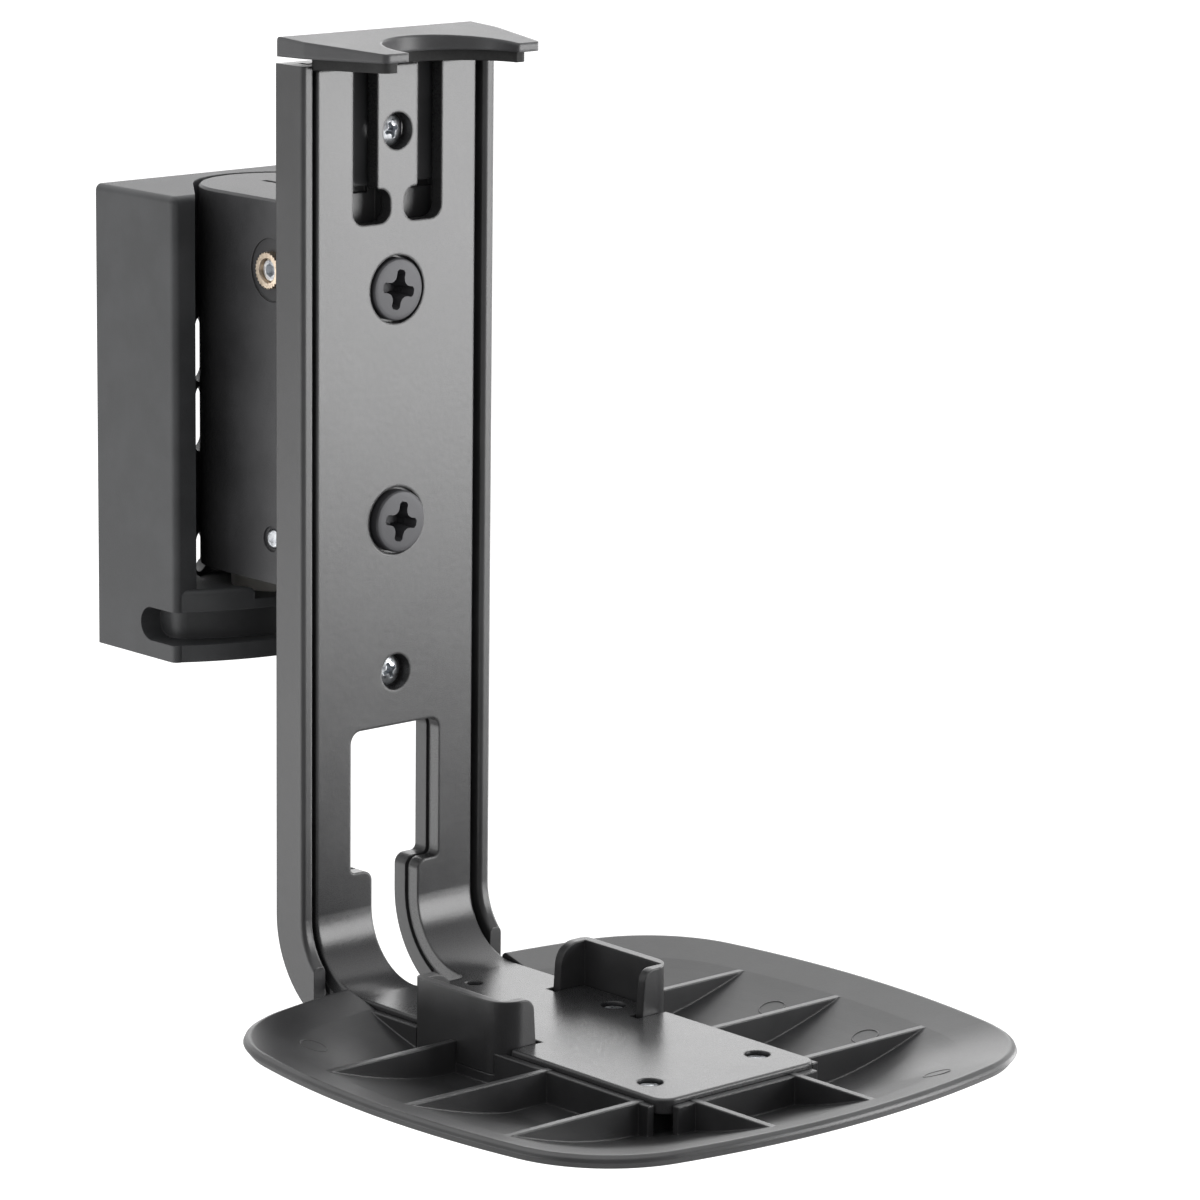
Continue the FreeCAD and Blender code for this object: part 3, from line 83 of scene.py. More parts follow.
class Field:
    """A socket of a material's graph, with arithmetic that adds Math nodes."""

    def __init__(self, graph: "Graph", socket: bpy.types.NodeSocket) -> None:
        """Wrap a socket.

        Args:
            graph: The graph that the socket belongs to.
            socket: The output socket.
        """
        self.graph = graph
        self.socket = socket

    def _math(self, operation: str, first: "Value", second: "Value") -> "Field":
        """Add a Math node.

        Args:
            operation: The node's operation.
            first: Its first value or link.
            second: Its second value or link.

        Returns:
            The node's result.
        """
        inputs = {"Value": first, "Value_001": second}
        return self.graph.node("ShaderNodeMath", {"operation": operation}, inputs)

    def __add__(self, other: "Value") -> "Field":
        """Sum."""
        return self._math("ADD", self, other)

    __radd__ = __add__

    def __mul__(self, other: "Value") -> "Field":
        """Product."""
        return self._math("MULTIPLY", self, other)

    __rmul__ = __mul__

    def __sub__(self, other: "Value") -> "Field":
        """Difference."""
        return self._math("SUBTRACT", self, other)

    def __rsub__(self, other: "Value") -> "Field":
        """Difference, with this field taken away."""
        return self._math("SUBTRACT", other, self)

    def step(self, low: float, high: float) -> "Field":
        """Smooth step from 0 to 1.

        Args:
            low: Where the step starts.
            high: Where it ends.

        Returns:
            The stepped field.
        """
        inputs = {"Value": self, "From Min": low, "From Max": high}
        return self.graph.node("ShaderNodeMapRange", {"interpolation_type": "SMOOTHSTEP"}, inputs)

    def swing(self, share: float) -> "Field":
        """Turn a field from 0 to 1 into one that swings round zero.

        Args:
            share: Width of the swing.

        Returns:
            The field, from minus to plus half the share.
        """
        return (self - 0.5) * share


Value = Union[Field, float, Colour]


class Graph:
    """Node graph of one material or of the world."""

    def __init__(self, tree: bpy.types.NodeTree) -> None:
        """Take an emptied tree.

        Args:
            tree: The node tree to fill.
        """
        self.tree = tree
        tree.nodes.clear()

    def raw(self, kind: str, settings: dict, inputs: dict) -> bpy.types.Node:
        """Add a node.

        Args:
            kind: The node's type.
            settings: Attributes that are set before its sockets.
            inputs: Values or links, by the name or identifier of a socket.

        Returns:
            The node.
        """
        node = self.tree.nodes.new(kind)
        for key, setting in settings.items():
            setattr(node, key, setting)
        sockets = {socket.name: socket for socket in reversed(node.inputs)}
        sockets.update({socket.identifier: socket for socket in node.inputs})
        for key, given in inputs.items():
            if isinstance(given, Field):
                self.tree.links.new(given.socket, sockets[key])
            elif isinstance(given, tuple):
                sockets[key].default_value = (*given, 1.0) if sockets[key].type == "RGBA" else given
            else:
                sockets[key].default_value = given
        return node

    def node(self, kind: str, settings: dict, inputs: dict, output: str = "") -> Field:
        """Add a node and take one of its outputs.

        Args:
            kind: The node's type.
            settings: Attributes that are set before its sockets.
            inputs: Values or links, by the name or identifier of a socket.
            output: The output's name, or nothing for the first one that is in use.

        Returns:
            The output as a field.
        """
        made = self.raw(kind, settings, inputs)
        usable = [socket for socket in made.outputs if socket.enabled]
        picked = made.outputs[output] if output else usable[0]
        return Field(self, picked)

    def place(self) -> Field:
        """Point on the object, in its own coordinates."""
        return self.node("ShaderNodeTexCoord", {}, {}, "Object")

    def noise(self, size: float, detail: float = 2.0, stretch: Colour = (1.0, 1.0, 1.0)) -> Field:
        """Noise from 0 to 1.

        Args:
            size: Size of its largest lumps, in metres.
            detail: Number of finer layers.
            stretch: Scale of the pattern along each axis.

        Returns:
            The noise.
        """
        spot = self.node("ShaderNodeMapping", {}, {"Vector": self.place(), "Scale": stretch})
        inputs = {"Vector": spot, "Scale": 1.0 / size, "Detail": detail, "Roughness": NOISE_ROUGHNESS}
        return self.node("ShaderNodeTexNoise", {}, inputs, "Fac")

    def blend(self, factor: Value, low: Value, high: Value) -> Field:
        """Mix two colours.

        Args:
            factor: Share of the second colour.
            low: First colour.
            high: Second colour.

        Returns:
            The mixed colour.
        """
        inputs = {"Factor_Float": factor, "A_Color": low, "B_Color": high}
        settings = {"data_type": "RGBA"}
        return Field(self, self.raw("ShaderNodeMix", settings, inputs).outputs[2])

    def rounded(self, radius: float) -> Field:
        """Normal with its edges rounded.

        Args:
            radius: Radius of the rounding, in metres.

        Returns:
            The normal.
        """
        return self.node("ShaderNodeBevel", {"samples": EDGE_SAMPLES}, {"Radius": radius})

    def edge_mask(self, radius: float) -> Field:
        """Mask that is 1 along edges.

        Args:
            radius: Width of the mask on each side of an edge, in metres.

        Returns:
            The mask.
        """
        plain = self.node("ShaderNodeNewGeometry", {}, {}, "Normal")
        inputs = {"Vector": plain, "Vector_001": self.rounded(radius)}
        agreement = self.node("ShaderNodeVectorMath", {"operation": "DOT_PRODUCT"}, inputs, "Value")
        return (1.0 - agreement).step(EDGE_START, EDGE_END)

    def bump(self, height: Field, distance: float, strength: float, normal: Field) -> Field:
        """Bumped normal.

        Args:
            height: Height from 0 to 1.
            distance: Depth of the relief, in metres.
            strength: Share of the relief that is used.
            normal: Normal under the relief.

        Returns:
            The bumped normal.
        """
        inputs = {"Height": height, "Distance": distance, "Strength": strength, "Normal": normal}
        return self.node("ShaderNodeBump", {}, inputs)

    def ray(self, kind: str) -> Field:
        """Mask of one kind of ray.

        Args:
            kind: The output's name on the Light Path node.

        Returns:
            The mask.
        """
        return self.node("ShaderNodeLightPath", {}, {}, kind)

    def seen(self) -> Field:
        """Mask of the rays that show the background: camera, glossy and transmission rays."""
        total = self.ray("Is Camera Ray") + self.ray("Is Glossy Ray") + self.ray("Is Transmission Ray")
        return total.step(0.0, 1.0)


def new_graph(name: str) -> tuple[bpy.types.Material, Graph]:
    """Make a material with an empty graph.

    Args:
        name: The material's name.

    Returns:
        The material and its graph.
    """
    material = bpy.data.materials.new(name)
    material.use_nodes = True
    return material, Graph(material.node_tree)


def surface(graph: Graph, inputs: dict) -> None:
    """Close a graph with a Principled shader.

    Args:
        graph: The material's graph.
        inputs: Values or links of the shader's sockets.
    """
    shader = graph.node("ShaderNodeBsdfPrincipled", {}, inputs)
    graph.raw("ShaderNodeOutputMaterial", {}, {"Surface": shader})


def lifted(colour: Colour, gain: float, lift: float) -> Colour:
    """Make a colour paler.

    Args:
        colour: The colour.
        gain: Factor on each part.
        lift: Amount added to each part.

    Returns:
        The paler colour.
    """
    return tuple(part * gain + lift for part in colour)


def grey(level: float) -> Colour:
    """Grey of one level."""
    return (level, level, level)


# Finishes


@dataclass(frozen=True)
class MouldedPlastic:
    """Dark moulded plastic with a fine spark-eroded grain and soft edges."""

    name: str
    colour: Colour
    roughness: float
    grain: float = 0.35 * MM
    relief: float = 0.03 * MM
    rounding: float = 0.3 * MM
    cloud: float = 14 * MM
    cloud_span: Pair = (0.35, 0.72)
    paler: Pair = (1.36, 0.004)
    polished: Pair = (1.5, 0.015)
    wear: float = 0.6
    wear_reach: float = 1.4

    def make(self) -> bpy.types.Material:
        """Build the material."""
        material, graph = new_graph(self.name)
        clouds = graph.noise(self.cloud, 3.0)
        grain = graph.noise(self.grain, 3.0)
        edge = graph.edge_mask(self.wear_reach * self.rounding)
        body = graph.blend(clouds.step(*self.cloud_span), self.colour, lifted(self.colour, *self.paler))
        worn = graph.blend(edge * self.wear, body, lifted(self.colour, *self.polished))
        roughness = self.roughness + grain.swing(0.12) + clouds.swing(0.1) - edge * 0.06
        normal = graph.bump(grain, self.relief, 0.8, graph.rounded(self.rounding))
        surface(graph, {"Base Color": worn, "Roughness": roughness, "Normal": normal, "IOR": PLASTIC_IOR})
        return material


@dataclass(frozen=True)
class PowderCoat:
    """Satin powder coat on sheet steel, with a faint orange peel."""

    name: str
    colour: Colour
    roughness: float
    rounding: float = 0.45 * MM
    peel: float = 1.3 * MM
    peel_relief: float = 0.02 * MM
    grain: float = 0.16 * MM
    grain_relief: float = 0.012 * MM
    cloud: float = 24 * MM
    cloud_span: Pair = (0.35, 0.7)
    paler: Pair = (1.35, 0.003)
    thin: Pair = (1.6, 0.02)
    wear: float = 0.5
    wear_reach: float = 1.2

    def make(self) -> bpy.types.Material:
        """Build the material."""
        material, graph = new_graph(self.name)
        peel = graph.noise(self.peel, 1.0)
        grain = graph.noise(self.grain, 2.0)
        clouds = graph.noise(self.cloud, 3.0)
        edge = graph.edge_mask(self.wear_reach * self.rounding)
        body = graph.blend(clouds.step(*self.cloud_span), self.colour, lifted(self.colour, *self.paler))
        coat = graph.blend(edge * self.wear, body, lifted(self.colour, *self.thin))
        roughness = self.roughness + grain.swing(0.14) + clouds.swing(0.08)
        rough = graph.bump(grain, self.grain_relief, 0.8, graph.rounded(self.rounding))
        normal = graph.bump(peel, self.peel_relief, 0.7, rough)
        surface(graph, {"Base Color": coat, "Roughness": roughness, "Normal": normal, "IOR": PLASTIC_IOR})
        return material


@dataclass(frozen=True)
class PlatedMetal:
    """Plated or bare metal with a mottled, lightly scratched face."""

    name: str
    colour: Colour
    shade: Colour
    roughness: float
    mottle: float = 1.2 * MM
    mottle_span: Pair = (0.3, 0.7)
    scratch: float = 0.5 * MM
    scratch_stretch: Colour = (1.0, 12.0, 1.0)
    scratch_span: Pair = (0.52, 0.7)
    scratch_depth: float = 0.4
    relief: float = 0.015 * MM
    rounding: float = 0.12 * MM

    def make(self) -> bpy.types.Material:
        """Build the material."""
        material, graph = new_graph(self.name)
        mottle = graph.noise(self.mottle, 4.0)
        scratches = graph.noise(self.scratch, 2.0, self.scratch_stretch).step(*self.scratch_span)
        body = graph.blend(mottle.step(*self.mottle_span), self.shade, self.colour)
        roughness = self.roughness + mottle.swing(0.25) + scratches * 0.1
        height = mottle + scratches * self.scratch_depth
        normal = graph.bump(height, self.relief, 0.6, graph.rounded(self.rounding))
        surface(graph, {"Base Color": body, "Roughness": roughness, "Normal": normal, "Metallic": 1.0})
        return material


@dataclass(frozen=True)
class SoftRubber:
    """Matt rubber with a dry, fine-pored skin."""

    name: str
    colour: Colour
    roughness: float = 0.75
    pore: float = 0.5 * MM
    pore_relief: float = 0.06 * MM
    dust: float = 7 * MM
    dust_span: Pair = (0.4, 0.8)
    dry: Pair = (1.8, 0.01)
    rounding: float = 0.4 * MM

    def make(self) -> bpy.types.Material:
        """Build the material."""
        material, graph = new_graph(self.name)
        pores = graph.noise(self.pore, 4.0)
        dust = graph.noise(self.dust, 4.0).step(*self.dust_span)
        body = graph.blend(dust, self.colour, lifted(self.colour, *self.dry))
        roughness = self.roughness + pores.swing(0.2)
        normal = graph.bump(pores, self.pore_relief, 0.9, graph.rounded(self.rounding))
        surface(graph, {"Base Color": body, "Roughness": roughness, "Normal": normal})
        return material


class Finish(Enum):
    """Finishes of the bracket, each under the name of its material slot."""

    HOUSING = ("housing_plastic", MouldedPlastic("moulded_housing", (0.036, 0.037, 0.039), 0.54))
    BLOCK = ("block_plastic",
             MouldedPlastic("moulded_block", (0.038, 0.038, 0.04), 0.5, grain=0.5 * MM, relief=0.05 * MM))
    SHELL = ("shell_plastic", MouldedPlastic("moulded_shell", (0.022, 0.022, 0.023), 0.36))
    CAP = ("cap_plastic", MouldedPlastic("moulded_cap", (0.036, 0.036, 0.038), 0.4, rounding=0.9 * MM))
    TRAY = ("tray_plastic", MouldedPlastic("moulded_tray", (0.02, 0.02, 0.021), 0.36, rounding=0.5 * MM))
    CLIP = ("tray_plastic", MouldedPlastic("moulded_clip", (0.02, 0.02, 0.021), 0.36, rounding=0.5 * MM))
    BUSH = ("bush_plastic", MouldedPlastic("moulded_bush", (0.34, 0.33, 0.31), 0.35))
    COAT = ("coated_steel", PowderCoat("coated_plate", (0.02, 0.02, 0.021), 0.28, 0.7 * MM))
    COATED_SCREW = ("coated_screw", PowderCoat("coated_screw", (0.02, 0.02, 0.021), 0.5, 0.25 * MM))
    STEEL = ("bare_steel", PlatedMetal("turned_steel", (0.62, 0.61, 0.6), (0.42, 0.41, 0.4), 0.32))
    ZINC = ("zinc_steel", PlatedMetal("zinc_plated", (0.78, 0.8, 0.82), (0.5, 0.52, 0.55), 0.3))
    BRASS = ("insert_brass", PlatedMetal("dulled_brass", (0.8, 0.68, 0.54), (0.6, 0.49, 0.38), 0.36))
    RUBBER = ("pad_rubber", SoftRubber("soft_pad", (0.012, 0.012, 0.012)))

    def __init__(self, slot: str, recipe: object) -> None:
        """Keep the slot's name and the recipe.

        Args:
            slot: The name of its material slot.
            recipe: What builds the material.
        """
        self.slot = slot
        self.recipe = recipe

    def material(self) -> bpy.types.Material:
        """The finish's material, built once."""
        return bpy.data.materials.get(self.recipe.name) or self.recipe.make()


def dress(node: str, finish: Finish) -> None:
    """Give a solid of the frame its finish.

    Args:
        node: The node's name.
        finish: Its finish.
    """
    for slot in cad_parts[node].material_slots:
        slot.material = finish.material()
    log.info("dressed %s in %s", node, finish.slot)


def finished_piece(mesh: bmesh.types.BMesh, name: str, body: Body, finish: Finish) -> bpy.types.Object:
    """Turn a finished bmesh into a piece that rides on a body.

    Args:
        mesh: The mesh, with its place in it.
        name: The piece's name.
        body: The body that it rides on.
        finish: Its finish.

    Returns:
        The new object.
    """
    bmesh.ops.remove_doubles(mesh, verts=mesh.verts, dist=MERGE_DISTANCE)
    bmesh.ops.recalc_face_normals(mesh, faces=mesh.faces)
    data = bpy.data.meshes.new(name)
    mesh.to_mesh(data)
    mesh.free()
    data.shade_smooth()
    data.set_sharp_from_angle(angle=SHARP_ANGLE)
    piece = bpy.data.objects.new(name, data)
    bpy.context.scene.collection.objects.link(piece)
    data.materials.append(finish.material())
    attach(piece, body.value)
    log.info("made %s on %s", name, body.value)
    return piece


# Fasteners


def lathe(mesh: bmesh.types.BMesh, profile: list, steps: int) -> None:
    """Turn a profile once round the Z axis.

    Args:
        mesh: The mesh that holds the profile.
        profile: Vertices and edges of the profile.
        steps: Number of steps in the turn.
    """
    bmesh.ops.spin(mesh, geom=profile, cent=(0, 0, 0), axis=(0, 0, 1), angle=2 * math.pi, steps=steps,
                   use_merge=True, dvec=(0, 0, 0))


@dataclass(frozen=True)
class CrossScrew:
    """Screw with a cross recess, drawn with its head's underside at zero and its face along +Z.

    Thread sizes are shares of the pitch, and sizes of the cross are shares of its span.
    """

    head_radius: float
    side: float
    crown: float
    rim: float
    shank_radius: float
    shank: float
    pitch: float
    span: float
    depth: float
    turn: float = 0.0
    cone: float = 0.0
    thread_depth: float = 0.3
    thread_flank: float = 0.4
    thread_crest: float = 0.5
    thread_end: float = 1.2
    cross_arm: float = 0.13
    cross_tip: float = 0.06
    cross_bend: float = 0.19
    cross_taper: float = 0.6
    face_ring: float = 0.86
    steps: int = 40

    def _profile(self) -> list[tuple[float, float]]:
        """Radius and height of each point of the turned profile, from the shank's tip to the face."""
        root = self.shank_radius - self.thread_depth * self.pitch
        points = [(0.0, -self.shank), (root, -self.shank)]
        turns = int((self.shank - self.thread_end * self.pitch) / self.pitch)
        for i in range(turns):
            low = -self.shank + (i + self.thread_flank) * self.pitch
            points += [(root, low), (self.shank_radius, low + self.thread_flank * self.pitch)]
            points.append((self.shank_radius, low + self.thread_crest * self.pitch))
        points.append((self.shank_radius, -self.cone))
        if self.cone == 0.0:
            points.append((self.head_radius, 0.0))
        for angle in QUARTER_ARC:
            reach = self.head_radius - self.rim * (1.0 - math.cos(angle))
            points.append((reach, self.side - self.rim * (1.0 - math.sin(angle))))
        return points

    def _recess(self, mesh: bmesh.types.BMesh) -> list[bmesh.types.BMEdge]:
        """Draw the cross on the face.

        Args:
            mesh: The mesh to draw in.

        Returns:
            The edges of the cross, in a loop.
        """
        arm, tip, reach = self.cross_arm * self.span, self.cross_tip * self.span, self.span / 2
        bend = self.cross_bend * self.span
        corners = []
        for i in range(4):
            spin = Matrix.Rotation(math.pi / 2 * i + self.turn, 3, "Z")
            quarter = [(reach - tip, -arm), (reach, -arm + tip), (reach, arm - tip), (reach - tip, arm)]
            for angle in QUARTER_ARC:
                quarter.append((arm + bend * (1.0 - math.sin(angle)), arm + bend * (1.0 - math.cos(angle))))
            corners += [spin @ Vector((x, y, self.side)) for x, y in quarter]
        verts = [mesh.verts.new(corner) for corner in corners]
        return [mesh.edges.new((vert, verts[i - 1])) for i, vert in enumerate(verts)]

    def _crown(self, mesh: bmesh.types.BMesh) -> None:
        """Arch the face, most at its middle.

        Args:
            mesh: The mesh of the screw.
        """
        for vert in mesh.verts:
            if vert.co.z > self.side - 0.5 * self.rim:
                share = (vert.co.x ** 2 + vert.co.y ** 2) / self.head_radius ** 2
                vert.co.z += self.crown * (1.0 - share)

    def build(self, place: Matrix) -> bmesh.types.BMesh:
        """Build the screw.

        Args:
            place: Where it stands.

        Returns:
            The mesh.
        """
        mesh = bmesh.new()
        verts = [mesh.verts.new((radius, 0.0, height)) for radius, height in self._profile()]
        for low, high in zip(verts, verts[1:]):
            mesh.edges.new((low, high))
        lathe(mesh, list(mesh.verts) + list(mesh.edges), self.steps)
        bmesh.ops.remove_doubles(mesh, verts=mesh.verts, dist=LATHE_MERGE_DISTANCE)
        rim = [edge for edge in mesh.edges if edge.is_boundary]
        inner = bmesh.ops.extrude_edge_only(mesh, edges=rim)["geom"]
        ring = [item for item in inner if isinstance(item, bmesh.types.BMVert)]
        bmesh.ops.scale(mesh, verts=ring, vec=(self.face_ring, self.face_ring, 1.0))
        rim = [edge for edge in mesh.edges if edge.is_boundary]
        cross = self._recess(mesh)
        bmesh.ops.triangle_fill(mesh, edges=rim + cross, use_beauty=True, normal=(0, 0, 1))
        walls = bmesh.ops.extrude_edge_only(mesh, edges=cross)["geom"]
        floor = [item for item in walls if isinstance(item, bmesh.types.BMVert)]
        bmesh.ops.translate(mesh, verts=floor, vec=(0, 0, -self.depth))
        bmesh.ops.scale(mesh, verts=floor, vec=(self.cross_taper, self.cross_taper, 1.0))
        bottom = [edge for edge in mesh.edges if edge.is_boundary]
        bmesh.ops.edgeloop_fill(mesh, edges=bottom)
        self._crown(mesh)
        bmesh.ops.transform(mesh, matrix=place, verts=mesh.verts)
        return mesh


def facing(spot: Vector, outward: Vector) -> Matrix:
    """Place for a screw.

    Args:
        spot: Where the underside of its head sits.
        outward: Which way its face looks.

    Returns:
        The place.
    """
    return Matrix.Translation(spot) @ outward.to_track_quat("Z", "Y").to_matrix().to_4x4()


def add_screw(name: str, node: str, screw: CrossScrew, place: Matrix, body: Body, finish: Finish) -> None:
    """Build a screw in place of its plain solid.

    Args:
        name: The new piece's name.
        node: The solid that it stands for.
        screw: Its sizes.
        place: Where it stands.
        body: The body that it rides on.
        finish: Its finish.
    """
    piece = finished_piece(screw.build(place), name, body, finish)
    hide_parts(node)


@dataclass(frozen=True)
class EjectorMark:
    """Faint raised ring that a pin of the mould leaves, drawn round the origin on the plane z = 0."""

    radius: float = 2.7 * MM
    width: float = 0.35 * MM
    height: float = 0.14 * MM
    sink: float = 0.3 * MM
    steps: int = 36

    def draw(self, mesh: bmesh.types.BMesh, place: Matrix) -> None:
        """Add the ring to a mesh.

        Args:
            mesh: The mesh to draw in.
            place: Where the ring lies.
        """
        half = self.width / 2
        section = [(-half, -self.sink), (half, -self.sink), (half, 0.5 * self.height)]
        section += [(0.4 * half, self.height), (-0.4 * half, self.height), (-half, 0.5 * self.height)]
        verts = [mesh.verts.new((self.radius + x, 0.0, z)) for x, z in section]
        edges = [mesh.edges.new((vert, verts[i - 1])) for i, vert in enumerate(verts)]
        before = set(mesh.verts) - set(verts)
        lathe(mesh, verts + edges, self.steps)
        added = [vert for vert in mesh.verts if vert not in before]
        bmesh.ops.transform(mesh, matrix=place, verts=added)


def middle(node: str) -> Vector:
    """Middle of a node's box, in metres."""
    low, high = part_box(node)
    return (low + high) / 2


# Sub-assemblies


@dataclass
class WallUnit:
    """Housing and plate on the wall, with the post that the block turns on."""

    sink_radius: float = 2.9 * MM
    shank_radius: float = 1.45 * MM
    length: float = 11.0 * MM
    clearance: float = 0.02 * MM

    def build(self) -> None:
        """Dress the solids and build the plate's screws."""
        dress("wall_housing", Finish.HOUSING)
        dress("wall_plate", Finish.COAT)
        dress("swivel_post", Finish.STEEL)
        dress("post_nut", Finish.ZINC)
        dress("swivel_bush", Finish.BUSH)
        screw = CrossScrew(
            head_radius=self.sink_radius, side=self.clearance, crown=0.0, rim=self.clearance,
            shank_radius=self.shank_radius, shank=self.length, pitch=1.0 * MM, span=3.2 * MM,
            depth=1.3 * MM, turn=0.3, cone=self.sink_radius - self.shank_radius)
        for i in range(1, 5):
            node = "housing_screw_%d" % i
            spot = middle(node)
            spot.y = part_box(node)[1].y - self.clearance
            place = facing(spot, Vector((0, 1, 0)))
            add_screw("plate_screw_%d" % i, node, screw, place, Body.WALL, Finish.COATED_SCREW)


@dataclass
class SwivelUnit:
    """Block that swivels in the housing, with its brass inserts and the pins of the tilt."""

    def build(self) -> None:
        """Dress the solids."""
        dress("swivel_block", Finish.BLOCK)
        for side in ("left", "right"):
            dress("lock_insert_" + side, Finish.BRASS)
            dress("lock_screw_" + side, Finish.ZINC)
            dress("tilt_pin_" + side, Finish.ZINC)


@dataclass
class ArmUnit:
    """Steel arm with its moulded back shell, its bolts and the carrier inside the block."""

    bolt: CrossScrew = CrossScrew(
        head_radius=6.4 * MM, side=2.4 * MM, crown=0.2 * MM, rim=0.45 * MM, shank_radius=3.0 * MM,
        shank=12.0 * MM, pitch=1.0 * MM, span=8.2 * MM, depth=4.2 * MM, turn=math.radians(-12))
    small: CrossScrew = CrossScrew(
        head_radius=3.4 * MM, side=1.6 * MM, crown=1.0 * MM, rim=0.3 * MM, shank_radius=1.5 * MM,
        shank=3.8 * MM, pitch=0.6 * MM, span=3.4 * MM, depth=1.5 * MM, turn=math.radians(20))

    def build(self) -> None:
        """Dress the solids and build the screws."""
        dress("arm_plate", Finish.COAT)
        dress("arm_shell", Finish.SHELL)
        dress("tilt_carrier", Finish.ZINC)
        for level in ("lower", "upper"):
            dress("carrier_nut_" + level, Finish.ZINC)
            self.face_screw("face_bolt_" + level, "arm_bolt_" + level, self.bolt, Finish.COATED_SCREW)
            self.face_screw("rim_screw_" + level, "shell_screw_" + level, self.small, Finish.ZINC)

    def face_screw(self, name: str, node: str, screw: CrossScrew, finish: Finish) -> None:
        """Build a screw whose head's crown ends where its plain solid does.

        Args:
            name: The new piece's name.
            node: The solid that it stands for.
            screw: Its sizes.
            finish: Its finish.
        """
        spot = middle(node)
        spot.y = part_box(node)[0].y + screw.side + screw.crown
        add_screw(name, node, screw, facing(spot, Vector((0, -1, 0))), Body.ARM, finish)


@dataclass
class TrayUnit:
    """Ribbed tray under the tongue, with its clips and screws. The marks' places are X and Y in mm."""

    main: CrossScrew = CrossScrew(
        head_radius=4.2 * MM, side=1.3 * MM, crown=0.7 * MM, rim=0.35 * MM, shank_radius=2.4 * MM,
        shank=8.0 * MM, pitch=1.0 * MM, span=4.6 * MM, depth=1.7 * MM, turn=0.4)
    back: CrossScrew = CrossScrew(
        head_radius=2.8 * MM, side=1.3 * MM, crown=0.7 * MM, rim=0.3 * MM, shank_radius=1.5 * MM,
        shank=5.0 * MM, pitch=0.7 * MM, span=3.2 * MM, depth=1.4 * MM, turn=0.9)
    back_screws: tuple[int, ...] = (3, 6)
    mark: EjectorMark = EjectorMark()
    mark_places: tuple[Pair, ...] = ((48.0, -123.0), (48.0, -150.0), (36.0, -182.0), (-45.0, -89.0))
    ray_start: float = 5 * MM

    def build(self) -> None:
        """Dress the solids and build the screws."""
        dress("tray", Finish.TRAY)
        self.marks()
        dress("tray_clip_left", Finish.CLIP)
        dress("tray_clip_right", Finish.CLIP)
        for i in range(1, 7):
            node = "tray_screw_%d" % i
            low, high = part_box(node)
            screw = self.back if i in self.back_screws else self.main
            spot = middle(node)
            spot.z = low.z + screw.side + screw.crown
            fitted = replace(screw, shank=high.z - spot.z, turn=screw.turn + i)
            place = facing(spot, Vector((0, 0, -1)))
            add_screw("base_screw_%d" % i, node, fitted, place, Body.ARM, Finish.ZINC)

    def marks(self) -> None:
        """Draw the ejector marks where rays from above meet the tray's floor."""
        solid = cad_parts["tray"]
        inverse = solid.matrix_world.inverted()
        down = inverse.to_3x3() @ Vector((0, 0, -1))
        mesh = bmesh.new()
        for x, y in self.mark_places:
            above = Vector((x * MM, y * MM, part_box("tray")[1].z + self.ray_start))
            hit, spot, normal, _ = solid.ray_cast(inverse @ above, down)
            if not hit:
                log.warning("no floor under the mark at %s, %s", x, y)
                continue
            upward = (solid.matrix_world.to_3x3() @ normal).normalized()
            self.mark.draw(mesh, facing(solid.matrix_world @ spot, upward))
        finished_piece(mesh, "ejector_marks", Body.ARM, Finish.TRAY)


@dataclass
class CapUnit:
    """Cap that slides in the top of the arm, with its rubber pad."""

    def build(self) -> None:
        """Dress the solids."""
        dress("top_cap", Finish.CAP)
        dress("cap_pad", Finish.RUBBER)


# Studio


@dataclass(frozen=True)
class Viewpoint:
    """Camera at the photograph's viewing angle: angles in degrees, focal length and image in pixels."""

    azimuth: float = -42.156
    elevation: float = 12.147
    roll: float = 0.685
    focal: float = 5414.031
    image: float = 1200.0
    sensor: float = 36.0
    offset: Vector = Vector((42.577, 75.676, -1121.488)) * MM
    face: Vector = Vector((0.0, -60.0, -119.45)) * MM
    far: float = 50.0

    def build(self) -> None:
        """Set the camera."""
        turn, rise, roll = (math.radians(angle) for angle in (self.azimuth, self.elevation, self.roll))
        back = Vector((math.sin(turn) * math.cos(rise), -math.cos(turn) * math.cos(rise), math.sin(rise)))
        level = (-back).cross(Vector((0, 0, 1))).normalized()
        upright = level.cross(-back)
        right = math.cos(roll) * level + math.sin(roll) * upright
        up = -math.sin(roll) * level + math.cos(roll) * upright
        spot = right * self.offset.x + up * self.offset.y + (-back) * self.offset.z
        data = bpy.data.cameras.new("camera")
        data.sensor_width = self.sensor
        data.lens = self.focal / self.image * self.sensor
        data.clip_end = self.far
        camera = bpy.data.objects.new("camera", data)
        basis = Matrix((right, up, back)).transposed().to_4x4()
        camera.matrix_world = Matrix.Translation(spot + self.face) @ basis
        bpy.context.scene.collection.objects.link(camera)
        bpy.context.scene.camera = camera


